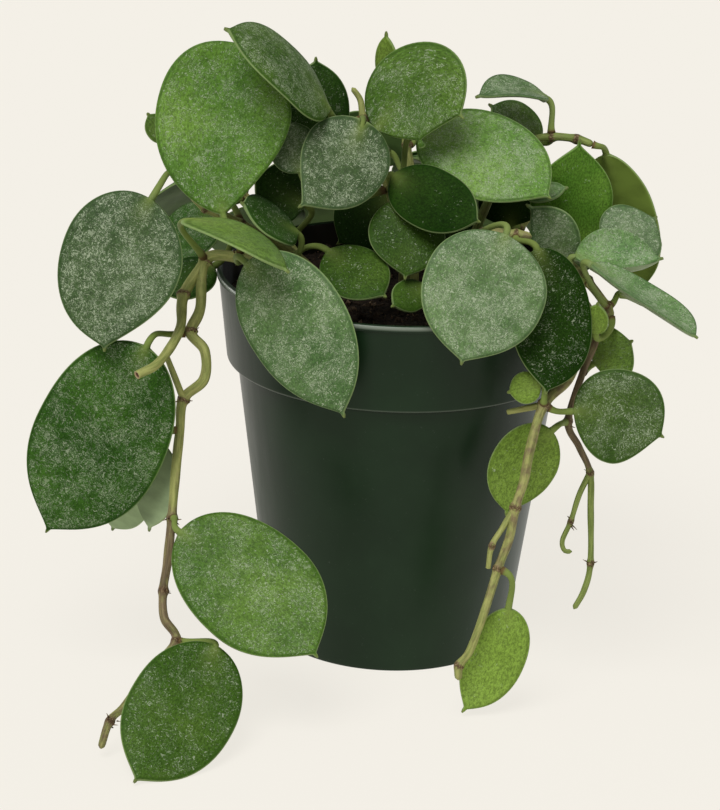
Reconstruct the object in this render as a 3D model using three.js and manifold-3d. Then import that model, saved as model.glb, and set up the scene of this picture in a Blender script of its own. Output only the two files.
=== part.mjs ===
// Potted trailing hoya in a round nursery pot. Millimetres, +Z up, the pot's base centre at the origin,
// and the pot's front towards -Y.
import * as THREE from 'three';
import { mergeVertices } from 'three/addons/utils/BufferGeometryUtils.js';
import Module from 'manifold-3d';

const wasm = await Module();
wasm.setup();

// ---------------------------------------------------------------- driving sizes
const POT = {
  height: 159, baseRadius: 51, bodyTopRadius: 67, bandHeight: 37.5, bandBottomRadius: 71.2,
  rimRadius: 76, lipHeight: 2.6, lipOut: 0.9, lipBevel: 0.5, wall: 1.4, floor: 1.8, footBevel: 0.8,
  segments: 48, drainRadius: 6, drainCircle: 39, drainCount: 6,
};
const SOIL = { top: 147, roughness: 1.6, clearance: 0.4, edge: 2, rings: 5, segments: 32 };
const SEAT = 0.35;              // gap that a touching piece keeps to its neighbour
const STEM = {
  sides: 8, spraySides: 6, step: 9, closest: 0.6, nodeSwell: 1.35, nodeReach: 2.6, nodeClear: 4.2,
  depth: 24, soilNeck: 1, collar: 5, holeSides: 12, taper: 0.75,
};
const LEAF = {
  thickness: 1.9, rimShare: 0.35, edge: 0.36, petiole: 1.4, footSwell: 1.2, petioleReach: 0.4,
  ribLength: 0.25, baseLength: 0.3, taperHalf: 3, baseRound: 2.2,
  shoulder: 2.3, tipPull: 0.55, tipReach: 0.1,
};
const TOLERANCE = 0.01;         // two places along a stem closer than this are one

const COLOUR = {
  pot: 0x1f3a2c, soil: 0x2b211b, stem: 0x7d8345, woody: 0x8a7a52,
  deep: 0x2f5a2c, mid: 0x4c7a3f, silver: 0x8c9c86, young: 0x93ab4a, under: 0x9db387,
};

// ---------------------------------------------------------------- stems
// foot is where the stem stands in the soil. r is its radius there, and taper is the share of it that is
// left at the tip. Each point is x, y, z, and a fourth value of 1 marks a node. branches grow from a
// point of the main stem, given by its number.
const STEMS = {
  left_vine: {
    r: 2.5, taper: 0.6, colour: 'stem', foot: [-34, -26],
    points: [[-46, -28, 167], [-65, -29, 171, 1], [-79, -28, 169, 1], [-80, -42, 153], [-83, -52, 146, 1],
      [-77, -57, 140], [-77, -60, 129], [-85, -62, 121, 1], [-86, -66, 109], [-87, -72, 95],
      [-88, -78, 76, 1], [-89, -86, 60], [-90, -94, 51, 1], [-89, -100, 42], [-84, -104, 34, 1],
      [-94, -116, 25], [-102, -130, 17], [-107, -138, 14, 1], [-110, -143, 4.5]],
    branches: [
      { from: 2, r: 2.3, points: [[-87, -38, 157, 1], [-87, -58, 149], [-93, -84, 144], [-101, -92, 141]] },
      { from: 7, r: 1.5, points: [[-88, -66, 131], [-91, -70, 141]] },
    ],
  },
  left_crown: {
    r: 2.3, taper: 0.85, colour: 'stem', foot: [-32, 4],
    points: [[-48, -4, 168], [-66, -12, 180, 1], [-80, -16, 188, 1], [-86, -17, 194]],
  },
  centre_stem: {
    r: 2.6, taper: 0.45, colour: 'stem', foot: [2, -12],
    points: [[0, -12, 176, 1], [-6, -11, 197, 1], [-13, -10, 213, 1], [-17, -8, 225, 1], [-18.5, -5, 232],
      [-22, -5, 237]],
  },
  front_right_stem: {
    r: 2.2, taper: 0.85, colour: 'stem', foot: [20, -28],
    points: [[23, -34, 176, 1], [33, -38, 187, 1], [46, -38, 187, 1], [52, -40, 187]],
  },
  upper_right_stem: {
    r: 2.1, taper: 0.75, colour: 'woody', foot: [26, 10],
    points: [[32, 8, 178], [42, 4, 203, 1], [52, 2, 215], [60, 0, 218, 1], [70, -2, 218, 1], [77, -3, 216]],
  },
  right_crown: {
    r: 2.2, taper: 0.8, colour: 'stem', foot: [44, 4],
    points: [[56, -4, 166, 1], [66, -14, 170, 1], [76, -26, 165, 1], [84, -34, 157, 1], [86, -37, 153]],
  },
  right_vine: {
    r: 2.5, taper: 0.62, colour: 'stem', foot: [44, -26],
    points: [[58, -34, 165], [71, -45, 158], [73, -51, 146], [69, -57, 134], [59, -68, 126, 1],
      [54, -76, 110], [52, -80, 98], [49, -84, 88, 1], [47, -87, 76], [43, -90, 64, 1], [38, -94, 46],
      [33, -97, 31], [29, -98, 25, 1], [29, -99, 19]],
    branches: [
      { from: 4, r: 1.4, points: [[50, -66, 123], [45, -64, 121]] },
      { from: 7, r: 1.35, points: [[44, -87, 80], [40, -91, 74, 1], [39, -92, 65]] },
    ],
  },
  right_runner: {
    r: 1.7, taper: 0.7, colour: 'woody', foot: [58, -22],
    points: [[70, -33, 163], [80, -42, 150], [75, -47, 133], [70, -50, 113, 1], [75, -50, 102],
      [80, -50, 91, 1],
      [81, -52, 76], [82, -54, 53, 1], [80, -56, 42], [76, -58, 34]],
    branches: [
      { from: 5, r: 1.25,
        points: [[76, -52, 82], [73, -54, 71, 1], [70, -55, 63], [71, -56, 59], [74, -57, 59]] },
    ],
  },
};

// ---------------------------------------------------------------- leaves
// base and tip end the blade's middle line; face is the way its top looks. width is the broadest part,
// at widest along the blade; sway and arch bend the middle line sideways and upwards, lobe lets the
// base reach back beside the petiole, and curl rolls the halves, in degrees. A lower sharp or wedge makes
// the tip's or the base's end blunter. from names the stem and its point that the petiole starts at, and
// toward is the way it leaves the stem.
const LEAVES = [
  { name: 'leaf_tall_left', look: 'mid', base: [-71, -47, 194], tip: [-60, -16, 256], width: 54,
    face: [0.05, -0.93, 0.36], sway: -8, curl: 12, widest: 0.6, sharp: 0.6, wedge: 0.8,
    from: ['left_vine', 1], toward: [-0.1, -0.3, 1] },
  { name: 'leaf_peak_left', look: 'mid', base: [-31, -23, 232], tip: [-72, -40, 268], width: 42,
    face: [0.55, -0.28, 0.8], curl: -8, arch: 5, from: ['centre_stem', 3], toward: [-1, -0.1, 0.2] },
  { name: 'leaf_behind_peak', look: 'deep', base: [-36, 4, 205], tip: [-37, 0, 248], width: 28,
    face: [0.2, -0.9, 0.4], from: ['centre_stem', 2], toward: [-0.6, 1, 0.1] },
  { name: 'leaf_heart_centre', look: 'silver', base: [-18, -26, 225], tip: [-41, -54, 200], width: 36,
    face: [0.2, -0.85, 0.5], lobe: 5, sway: -3, widest: 0.34, sharp: 0.9,
    from: ['centre_stem', 3], toward: [-0.1, -1, 0.2] },
  { name: 'leaf_round_top', look: 'mid', base: [-11, -18, 223], tip: [23, -34, 233], width: 43,
    face: [0.1, -0.9, 0.4], sway: -12, widest: 0.52, sharp: 0.7,
    from: ['centre_stem', 2], toward: [1, -0.6, 0.2] },
  { name: 'leaf_young_top', look: 'young', base: [-5, 6, 229], tip: [-9, 2, 259], width: 12,
    face: [-0.5, -0.8, 0.3], sway: -1, from: ['centre_stem', 3], toward: [0.6, 0.8, 0.2] },
  { name: 'leaf_broad_right', look: 'mid', base: [5, -9, 219], tip: [59, -40, 203], width: 39,
    face: [0.15, -0.8, 0.55], sway: -5, from: ['centre_stem', 1], toward: [1, 0.3, 0.2] },
  { name: 'leaf_dark_centre', look: 'deep', base: [-4, -24, 206], tip: [31, -56, 197], width: 26,
    face: [0.1, -0.9, 0.4], sway: 1, sharp: 0.7, from: ['centre_stem', 1], toward: [0.3, -1, 0.2] },
  { name: 'leaf_low_centre', look: 'mid', base: [-1, -28, 198], tip: [2, -52, 171], width: 31,
    face: [0.1, -0.85, 0.5], sway: -2, from: ['centre_stem', 0], toward: [0.2, -1, 0.5] },
  { name: 'leaf_soil_left', look: 'mid', base: [-29, -36, 177], tip: [-5, -60, 166], width: 25,
    face: [0.1, -0.75, 0.65], widest: 0.5, from: ['left_vine', 0], toward: [0.9, 0.3, 0.2] },
  { name: 'leaf_front_left', look: 'silver', base: [-61, -56, 177], tip: [-20, -86, 124], width: 43,
    face: [-0.4, -0.85, 0.3], sway: -4, widest: 0.42, from: ['left_vine', 1], toward: [0.2, -1, -0.1] },
  { name: 'leaf_folded_left', look: 'under', base: [-80, -62, 195], tip: [-43, -80, 181], width: 23,
    face: [0.3, -0.12, 0.95], lobe: 7, arch: 4, from: ['left_vine', 2], toward: [0.1, -0.2, 1] },
  { name: 'leaf_outer_left', look: 'silver', base: [-99, -56, 202], tip: [-115, -80, 146], width: 50,
    face: [-0.2, -0.9, 0.35], sway: 5, widest: 0.42, from: ['left_crown', 3], toward: [-0.7, 0, 0.7] },
  { name: 'leaf_big_low_left', look: 'deep', base: [-99, -76, 147], tip: [-140, -66, 63], width: 55,
    face: [-0.1, -0.93, 0.36], sway: -1, widest: 0.5, from: ['left_vine', 4], toward: [-1, 0.2, 0] },
  { name: 'leaf_pale_low_left', look: 'silver', base: [-103, -44, 87], tip: [-115, -44, 56], width: 24,
    face: [0.3, 0.9, -0.3], sharp: 0.5, from: ['left_vine', 8], toward: [-0.2, 1, 0] },
  { name: 'leaf_olive_low_left', look: 'silver', base: [-93, -62, 101], tip: [-98, -66, 65], width: 22,
    face: [0.6, 0.75, -0.3], from: ['left_vine', 8], toward: [-1, -0.3, 0] },
  { name: 'leaf_hanging_left', look: 'mid', base: [-84, -90, 75], tip: [-27, -122, 37], width: 49,
    face: [0.2, -0.85, 0.45], sway: -3.5, widest: 0.5, from: ['left_vine', 10], toward: [0.4, -1, 0.1] },
  { name: 'leaf_floor_left', look: 'mid', base: [-68, -113, 35], tip: [-95, -166, 2], width: 43,
    face: [0.1, -0.85, 0.5], lobe: 2, sway: -1.5, widest: 0.46,
    from: ['left_vine', 14], toward: [0.9, -0.3, 0.1] },
  { name: 'leaf_front_right', look: 'silver', base: [41, -62, 194], tip: [25, -90, 149], width: 49,
    face: [0.05, -0.93, 0.36], sway: 1, widest: 0.43,
    from: ['front_right_stem', 1], toward: [0.2, -0.9, 0.5] },
  { name: 'leaf_dark_right', look: 'deep', base: [54, -50, 185], tip: [59, -76, 133], width: 34,
    face: [0.25, -0.9, 0.3], sway: -4.5, widest: 0.5,
    from: ['front_right_stem', 2], toward: [0.2, -0.9, -0.2] },
  { name: 'leaf_silver_right', look: 'silver', base: [65, -25, 171], tip: [49.5, -30, 197.5], width: 20,
    face: [-0.2, -0.9, 0.3], sway: 4, sharp: 1.3, from: ['right_crown', 0], toward: [0, -1, 0.3] },
  { name: 'leaf_upright_right', look: 'mid', base: [68, -4, 173], tip: [71, -10, 220], width: 34,
    face: [0.1, -0.95, 0.3], sharp: 1.25, widest: 0.42, from: ['right_crown', 0], toward: [0.5, 1, 0.8] },
  { name: 'leaf_olive_right', look: 'under', base: [83, 5, 210], tip: [103, 8, 152], width: 34,
    face: [0.55, 0.75, 0.35], from: ['upper_right_stem', 5], toward: [1, 0, 0] },
  { name: 'leaf_silver_outer', look: 'silver', base: [85, -19, 176], tip: [104, -11, 189], width: 30,
    face: [0.1, -0.7, 0.7], from: ['right_crown', 1], toward: [0.8, 0.5, 0.4] },
  { name: 'leaf_curled_right', look: 'silver', base: [70, -30, 176], tip: [106, -30, 177], width: 32,
    face: [0.05, -0.4, 0.92], curl: 70, arch: -3, from: ['right_crown', 2], toward: [-1, -0.5, 0.3] },
  { name: 'leaf_narrow_right', look: 'silver', base: [76, -53, 180], tip: [118, -71, 157], width: 26,
    face: [0.4, -0.1, 0.9], widest: 0.6, sharp: 0.4, wedge: 0.4, curl: 35,
    from: ['right_crown', 3], toward: [-0.1, -1, 0.2] },
  { name: 'leaf_brown_right', look: 'under', base: [90, -29, 161], tip: [101, -36, 159], width: 18,
    face: [0.1, 0.5, 0.9], from: ['right_crown', 3], toward: [1, 0.6, 0.5] },
  { name: 'leaf_yellow_right', look: 'young', base: [79, -51, 151], tip: [79, -54, 165], width: 10,
    face: [-0.3, -0.9, 0.3], from: ['right_crown', 4], toward: [-0.2, -1, -0.2] },
  { name: 'leaf_round_low_right', look: 'mid', base: [71, -66, 123], tip: [107, -74, 116], width: 38,
    face: [0.1, -0.93, 0.35], sway: -3, widest: 0.5, sharp: 0.7,
    from: ['right_vine', 4], toward: [0.9, 0, -0.5] },
  { name: 'leaf_rim_right', look: 'under', base: [80, -38, 134], tip: [95, -40, 145], width: 24,
    face: [0.1, -0.8, 0.5], from: ['right_runner', 2], toward: [0.5, 1, 0.2] },
  { name: 'leaf_small_low_right', look: 'young', base: [57, -69, 135], tip: [44, -72, 132], width: 13,
    face: [0.1, -0.93, 0.35], from: ['right_vine', 4], toward: [-0.3, -1, 0.3] },
  { name: 'leaf_yellow_vine', look: 'young', base: [63, -62, 113], tip: [46, -68, 78], width: 27,
    face: [0.2, -0.93, 0.35], sway: 3.5, from: ['right_runner', 3], toward: [-0.6, -1, 0] },
  { name: 'leaf_floor_right', look: 'young', base: [48, -88, 46], tip: [31, -93, 2], width: 25,
    face: [0.2, -0.93, 0.35], sway: -3.5, from: ['right_vine', 9], toward: [0.6, -0.5, -0.6] },
  { name: 'leaf_arched_top', look: 'silver', base: [57, 4, 233], tip: [28, -6, 235], width: 24,
    face: [0, -0.15, 0.98], arch: 3, curl: 25, from: ['upper_right_stem', 3], toward: [-0.1, 0.1, 1] },
  { name: 'leaf_behind_broad', look: 'mid', base: [56, 12, 213], tip: [34, 12, 228], width: 20,
    face: [0.25, -0.75, 0.6], from: ['upper_right_stem', 3], toward: [-0.1, 1, -0.2] },
  { name: 'leaf_tip_right', look: 'silver', base: [50, -12, 196], tip: [67, -15, 201], width: 9,
    face: [0, -0.7, 0.7], from: ['upper_right_stem', 1], toward: [0.3, -1, -0.2] },
  { name: 'leaf_tip_left', look: 'under', base: [-96, -8, 213], tip: [-105, -6, 224], width: 11,
    face: [0.1, -0.9, 0.3], from: ['left_crown', 1], toward: [-0.5, 0.6, 0.5] },
  { name: 'leaf_silver_left', look: 'silver', base: [-41, -28, 207], tip: [-48, -22, 228], width: 20,
    face: [0.1, -0.9, 0.3], from: ['centre_stem', 1], toward: [-1, -0.4, 0.1] },
  { name: 'leaf_inner_left', look: 'deep', base: [-42, -36, 184], tip: [-64, -49, 200], width: 26,
    face: [0.1, -0.4, 0.9], from: ['left_vine', 0], toward: [0.3, -0.8, 0.5] },
  { name: 'leaf_rolled_left', look: 'deep', base: [-77, -6, 160], tip: [-99, -18, 151], width: 20,
    face: [0.2, -0.5, 0.8], from: ['left_crown', 1], toward: [-0.2, 0, -1] },
  { name: 'leaf_soil_right', look: 'mid', base: [10, -44, 166], tip: [-3, -60, 162], width: 14,
    face: [0.1, -0.8, 0.5], from: ['front_right_stem', 0], toward: [-0.6, -1, 0] },
  { name: 'leaf_shade_left', look: 'deep', base: [-40, -14, 190], tip: [-61, -20, 201], width: 26,
    face: [0.1, -0.8, 0.5], from: ['left_crown', 0], toward: [0.4, 0.3, 1] },
];

// ---------------------------------------------------------------- rear sprays
// Leafy stems behind the pot's middle, each one body with its leaves; at is the stem's point.
const SPRAYS = {
  rear_spray_left: {
    r: 2.3, foot: [-42, 28],
    points: [[-54, 34, 166, 1], [-68, 38, 178, 1], [-82, 38, 180, 1], [-88, 36, 178]],
    leaves: [
      { at: 0, base: [-54, 46, 174], tip: [-74, 78, 138], width: 42, face: [-0.3, 0.7, 0.65] },
      { at: 1, base: [-78, 24, 176], tip: [-108, 14, 152], width: 42, face: [-0.4, -0.3, 0.8] },
      { at: 1, base: [-70, 44, 188], tip: [-76, 52, 218], width: 32, face: [-0.2, 0.95, 0.2] },
      { at: 2, base: [-90, 46, 184], tip: [-112, 70, 150], width: 44, face: [-0.6, 0.5, 0.6] },
    ],
  },
  rear_spray_back_left: {
    r: 2.3, foot: [-16, 36],
    points: [[-20, 48, 168, 1], [-28, 58, 184, 1], [-36, 64, 190, 1], [-40, 68, 190]],
    leaves: [
      { at: 0, base: [-26, 60, 177], tip: [-36, 94, 134], width: 44, arch: 5, face: [-0.2, 0.75, 0.6] },
      { at: 1, base: [-36, 46, 198], tip: [-52, 26, 208], width: 32, face: [-0.1, -0.3, 0.95] },
      { at: 2, base: [-36, 78, 188], tip: [-44, 112, 158], width: 46, face: [-0.2, 0.7, 0.7] },
      { at: 1, base: [-20, 58, 192], tip: [-6, 56, 210], width: 34, face: [0.1, 0.85, 0.4] },
    ],
  },
  rear_spray_back: {
    r: 2.3, foot: [14, 42],
    points: [[16, 54, 168, 1], [20, 64, 182, 1], [26, 74, 188, 1], [29, 78, 188]],
    leaves: [
      { at: 0, base: [24, 64, 177], tip: [30, 100, 132], width: 38, arch: 5, face: [0.2, 0.75, 0.5] },
      { at: 1, base: [8, 72, 188], tip: [-14, 92, 180], width: 36, face: [-0.1, 0.4, 0.9] },
      { at: 2, base: [38, 80, 190], tip: [64, 98, 166], width: 44, face: [0.3, 0.6, 0.7] },
      { at: 2, base: [22, 86, 188], tip: [10, 118, 158], width: 44, face: [0, 0.7, 0.7] },
    ],
  },
  rear_spray_right: {
    r: 2.3, foot: [42, 30],
    points: [[50, 36, 168, 1], [60, 40, 180, 1], [72, 42, 182, 1], [76, 43, 181]],
    leaves: [
      { at: 0, base: [56, 50, 176], tip: [76, 76, 134], width: 40, arch: 5, face: [0.5, 0.55, 0.6] },
      { at: 1, base: [66, 34, 186], tip: [90, 32, 184], width: 28, face: [0.3, -0.2, 0.9] },
      { at: 2, base: [84, 46, 182], tip: [110, 58, 152], width: 40, face: [0.6, 0.5, 0.6] },
      { at: 2, base: [74, 56, 184], tip: [80, 90, 156], width: 42, face: [0.3, 0.6, 0.7] },
      { at: 1, base: [52, 46, 190], tip: [38, 54, 206], width: 34, face: [0, 0.8, 0.5] },
      { at: 0, base: [46, 28, 172], tip: [45, 18, 196], width: 28, face: [0, -0.9, 0.4] },
    ],
  },
  rear_spray_top: {
    r: 2.2, foot: [6, 16],
    points: [[5, 22, 176, 1], [3, 28, 194, 1], [1, 32, 204, 1], [0, 34, 208]],
    leaves: [
      { at: 0, base: [16, 28, 186], tip: [42, 34, 200], width: 32, face: [0.1, 0.6, 0.8] },
      { at: 1, base: [-6, 34, 200], tip: [-32, 40, 208], width: 30, face: [-0.2, 0.6, 0.8] },
      { at: 2, base: [6, 38, 206], tip: [22, 52, 208], width: 30, face: [0.2, 0.6, 0.8] },
      { at: 0, base: [-4, 27, 184], tip: [-27, 20, 163], width: 30, face: [0, -0.85, 0.5] },
      { at: 0, base: [14, 22, 181], tip: [27, 19, 161], width: 27, face: [0, -0.85, 0.5] },
    ],
  },
  rear_vine: {
    r: 2.3, foot: [-4, 54],
    points: [[-3, 70, 167], [-1, 84, 160, 1], [0, 87, 144], [-2, 88, 124, 1], [2, 88, 102], [0, 86, 82, 1],
      [-3, 86, 64], [-4, 86, 50, 1], [-4, 86, 42]],
    leaves: [
      { at: 3, base: [12, 96, 120], tip: [38, 100, 86], width: 40, face: [0.2, 0.95, 0.2] },
      { at: 3, base: [-16, 96, 118], tip: [-40, 100, 82], width: 40, face: [-0.2, 0.95, 0.2] },
      { at: 5, base: [10, 94, 76], tip: [18, 98, 34], width: 36, face: [0.1, 0.95, 0.2] },
      { at: 7, base: [-14, 92, 46], tip: [-26, 96, 10], width: 30, face: [-0.1, 0.95, 0.2] },
    ],
  },
};

// ---------------------------------------------------------------- shared helpers
const vec = (p) => new THREE.Vector3(p[0], p[1], p[2]);
const degrees = THREE.MathUtils.degToRad;
const clamp = THREE.MathUtils.clamp;

function seededRandom(seed) {
  let state = seed;
  return () => {
    state = (state * 1664525 + 1013904223) % 4294967296;
    return state / 4294967296;
  };
}

// A closed body through rings of points, capped by a point at each end.
function loft(rings, startCap, endCap) {
  const count = rings[0].length;
  const points = [...rings.flat(), startCap, endCap];
  const first = points.length - 2;
  const last = points.length - 1;
  const index = [];
  for (let i = 0; i < rings.length - 1; i += 1) {
    for (let j = 0; j < count; j += 1) {
      const next = (j + 1) % count;
      const a = i * count + j;
      const b = i * count + next;
      index.push(a, b, b + count, a, b + count, a + count);
    }
  }
  const lastRing = (rings.length - 1) * count;
  for (let j = 0; j < count; j += 1) {
    const next = (j + 1) % count;
    index.push(first, next, j);
    index.push(last, lastRing + j, lastRing + next);
  }
  return facingOut(points, index);
}

// Turns the triangles over where the body came out inside out.
function facingOut(points, index) {
  let volume = 0;
  for (let i = 0; i < index.length; i += 3) {
    const [a, b, c] = [points[index[i]], points[index[i + 1]], points[index[i + 2]]];
    volume += a.dot(new THREE.Vector3().crossVectors(b, c));
  }
  const turned = [...index];
  if (volume < 0) {
    for (let i = 0; i < turned.length; i += 3) {
      [turned[i], turned[i + 1]] = [turned[i + 1], turned[i]];
    }
  }
  const geometry = new THREE.BufferGeometry();
  const numbers = points.flatMap((p) => [p.x, p.y, p.z]);
  geometry.setAttribute('position', new THREE.Float32BufferAttribute(numbers, 3));
  geometry.setIndex(turned);
  return geometry;
}

function toSolid(geometry) {
  const bare = geometry.clone();
  bare.deleteAttribute('normal');
  bare.deleteAttribute('uv');
  const merged = mergeVertices(bare, 1e-4);
  return new wasm.Manifold(new wasm.Mesh({
    numProp: 3,
    vertProperties: new Float32Array(merged.attributes.position.array),
    triVerts: new Uint32Array(merged.index.array),
  }));
}

function toGeometry(solid) {
  const mesh = solid.getMesh();
  const geometry = new THREE.BufferGeometry();
  geometry.setAttribute('position', new THREE.BufferAttribute(new Float32Array(mesh.vertProperties), 3));
  geometry.setIndex(new THREE.BufferAttribute(new Uint32Array(mesh.triVerts), 1));
  return geometry;
}

function unite(geometries) {
  let solid = toSolid(geometries[0]);
  for (const geometry of geometries.slice(1)) {
    solid = solid.add(toSolid(geometry));
  }
  return toGeometry(solid);
}

function uprightCylinder(radius, height, x, y, z) {
  const cylinder = new THREE.CylinderGeometry(radius, radius, height, STEM.holeSides);
  cylinder.rotateX(Math.PI / 2);
  cylinder.translate(x, y, z);
  return cylinder;
}

// ---------------------------------------------------------------- pot and soil
function potInnerRadius(z) {
  const step = POT.height - POT.bandHeight;
  if (z < step) {
    return THREE.MathUtils.lerp(POT.baseRadius, POT.bodyTopRadius, z / step) - POT.wall;
  }
  const band = POT.rimRadius - POT.lipOut;
  return THREE.MathUtils.lerp(POT.bandBottomRadius, band, (z - step) / POT.bandHeight) - POT.wall;
}

function potGeometry() {
  const step = POT.height - POT.bandHeight;
  const lip = POT.height - POT.lipHeight;
  const band = POT.rimRadius - POT.lipOut;
  const profile = [
    [0, 0], [POT.baseRadius - POT.footBevel, 0], [POT.baseRadius, POT.footBevel],
    [POT.bodyTopRadius, step], [POT.bandBottomRadius, step],
    [band, lip], [POT.rimRadius, lip + POT.lipBevel], [POT.rimRadius, POT.height - POT.lipBevel],
    [POT.rimRadius - POT.lipBevel, POT.height], [band - POT.wall + POT.lipBevel, POT.height],
    [band - POT.wall, POT.height - POT.lipBevel], [POT.bandBottomRadius - POT.wall, step + POT.wall],
    [POT.bodyTopRadius - POT.wall, step],
    [POT.baseRadius - POT.wall, POT.floor], [0, POT.floor],
  ].map(([r, z]) => new THREE.Vector2(r, z));
  const body = new THREE.LatheGeometry(profile, POT.segments);
  body.rotateX(Math.PI / 2);
  let solid = toSolid(body);
  for (let i = 0; i < POT.drainCount; i += 1) {
    const angle = (i + 0.5) * 2 * Math.PI / POT.drainCount;
    const [x, y] = [POT.drainCircle * Math.cos(angle), POT.drainCircle * Math.sin(angle)];
    solid = solid.subtract(toSolid(uprightCylinder(POT.drainRadius, 4 * POT.floor, x, y, POT.floor / 2)));
  }
  return toGeometry(solid);
}

function soilGeometry() {
  const random = seededRandom(7);
  const step = POT.height - POT.bandHeight;
  const wallAt = (z) => potInnerRadius(z) - SOIL.clearance;
  const rings = [
    soilRing(wallAt(POT.floor), () => POT.floor + SOIL.clearance),
    soilRing(wallAt(step - POT.wall), () => step + POT.wall),
    soilRing(wallAt(step + POT.wall), () => step + 2 * POT.wall),
    soilRing(wallAt(SOIL.top), () => SOIL.top),
  ];
  for (let i = SOIL.rings; i > 0; i -= 1) {
    const radius = (wallAt(SOIL.top) - SOIL.edge) * i / (SOIL.rings + 0.5);
    rings.push(soilRing(radius, () => SOIL.top + THREE.MathUtils.lerp(-1, 1, random()) * SOIL.roughness));
  }
  return loft(rings, vec([0, 0, POT.floor + SOIL.clearance]), vec([0, 0, SOIL.top]));
}

function soilRing(radius, heightAt) {
  return Array.from({ length: SOIL.segments }, (_, i) => {
    const angle = i * 2 * Math.PI / SOIL.segments;
    return new THREE.Vector3(radius * Math.cos(angle), radius * Math.sin(angle), heightAt());
  });
}

// ---------------------------------------------------------------- stems
// Rings along a stem: one at each of its points, one on each side of a node, and more on long stretches.
function stemSamples(points, { r, taper = STEM.taper }) {
  const curve = new THREE.CatmullRomCurve3(points.map(vec), false, 'catmullrom', 0.5);
  curve.arcLengthDivisions = 400;
  const length = curve.getLength();
  const stops = points.map((p, i) => curveFraction(curve, i / (points.length - 1)) * length);
  const nodes = stops.filter((s, i) => points[i][3]);
  const marks = nodes.flatMap((n) => [n - STEM.nodeReach, n, n + STEM.nodeReach]);
  for (let i = 0; i < stops.length - 1; i += 1) {
    const span = stops[i + 1] - stops[i];
    const count = Math.max(1, Math.round(span / STEM.step));
    for (let k = 0; k <= count; k += 1) {
      marks.push(stops[i] + k * span / count);
    }
  }
  const rings = marks.map((s) => clamp(s, 0, length)).sort((a, b) => a - b)
    .filter((s, i, all) => i === 0 || s - all[i - 1] > STEM.closest)
    .filter((s) => s === 0 || s === length || !nodes.some((n) => isCrowding(s, n)));
  return rings.map((s) => ({
    centre: curve.getPointAt(s / length),
    tangent: curve.getTangentAt(s / length),
    radius: THREE.MathUtils.lerp(r, r * taper, s / length)
      * (nodes.some((n) => Math.abs(n - s) < TOLERANCE) ? STEM.nodeSwell : 1),
  }));
}

// True for a ring that lies beside a node without being one of the node's own three rings.
function isCrowding(s, node) {
  const away = Math.abs(s - node);
  return away > TOLERANCE && away < STEM.nodeClear && Math.abs(away - STEM.nodeReach) > TOLERANCE;
}

// Arc length fraction of the curve's own parameter t.
function curveFraction(curve, t) {
  const lengths = curve.getLengths();
  return lengths[Math.round(t * (lengths.length - 1))] / lengths[lengths.length - 1];
}

function tube(samples, sides) {
  const side = perpendicular(samples[0].tangent);
  let previous = samples[0].tangent;
  const rings = samples.map(({ centre, tangent, radius }) => {
    side.applyQuaternion(new THREE.Quaternion().setFromUnitVectors(previous, tangent));
    previous = tangent;
    const across = new THREE.Vector3().crossVectors(tangent, side);
    return Array.from({ length: sides }, (_, i) => {
      const angle = i * 2 * Math.PI / sides;
      return centre.clone().addScaledVector(side, radius * Math.cos(angle))
        .addScaledVector(across, radius * Math.sin(angle));
    });
  });
  return loft(rings, samples[0].centre, samples[samples.length - 1].centre);
}

function perpendicular(direction) {
  const up = Math.abs(direction.z) < 0.9 ? new THREE.Vector3(0, 0, 1) : new THREE.Vector3(1, 0, 0);
  return up.addScaledVector(direction, -up.dot(direction)).normalize();
}

function stemGeometry(stem, sides = STEM.sides) {
  const { points, branches = [] } = stem;
  const parts = [tube(stemSamples(stemPath(stem), stem), sides)];
  for (const branch of branches) {
    parts.push(tube(stemSamples([points[branch.from].slice(0, 3), ...branch.points], branch), sides));
  }
  return parts.length > 1 ? unite(parts) : parts[0];
}

// Where a stem stands: straight up through the soil and a little above it.
function stemFoot([x, y]) {
  return [SOIL.top - STEM.depth, SOIL.top - STEM.soilNeck, SOIL.top + STEM.collar].map((z) => [x, y, z]);
}

function stemPath({ foot, points }) {
  return [...stemFoot(foot), ...points];
}

// Where a petiole leaves a stem: square to the stem at one of its points, just clear of its surface.
function petioleStart(stem, number, toward, gap) {
  const { r, taper = STEM.taper, points } = stem;
  const path = stemPath(stem);
  const curve = new THREE.CatmullRomCurve3(path.map(vec), false, 'catmullrom', 0.5);
  const t = (number + path.length - points.length) / (path.length - 1);
  const tangent = curve.getTangent(t);
  const atEnd = number === points.length - 1;
  const direction = atEnd ? tangent.clone() : vec(toward).normalize();
  if (!atEnd) {
    direction.addScaledVector(tangent, -direction.dot(tangent)).normalize();
  }
  const here = THREE.MathUtils.lerp(r, r * taper, curveFraction(curve, t));
  const radius = atEnd ? 0 : here * (points[number][3] ? STEM.nodeSwell : 1);
  return { point: vec(points[number]).addScaledVector(direction, radius + gap), direction };
}

// ---------------------------------------------------------------- leaves
const BLADE_STEPS = [0.012, 0.05, 0.14, 0.28, 0.46, 0.66, 0.84, 0.955];
const SMALL_BLADE_STEPS = [0.02, 0.1, 0.28, 0.5, 0.74, 0.93];
const SMALL_WIDTH = 25;
// Points round a blade's section: across from -1 to 1, and 1 on the top skin or -1 below.
const BLADE_RING = [[-1, 0], [-0.55, 1], [0, 1], [0.55, 1], [1, 0], [0.55, -1], [0, -1], [-0.55, -1]];
const PLAIN_RING = [[-1, 0], [-0.4, 1], [0.4, 1], [1, 0], [0.4, -1], [-0.4, -1]];

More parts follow.
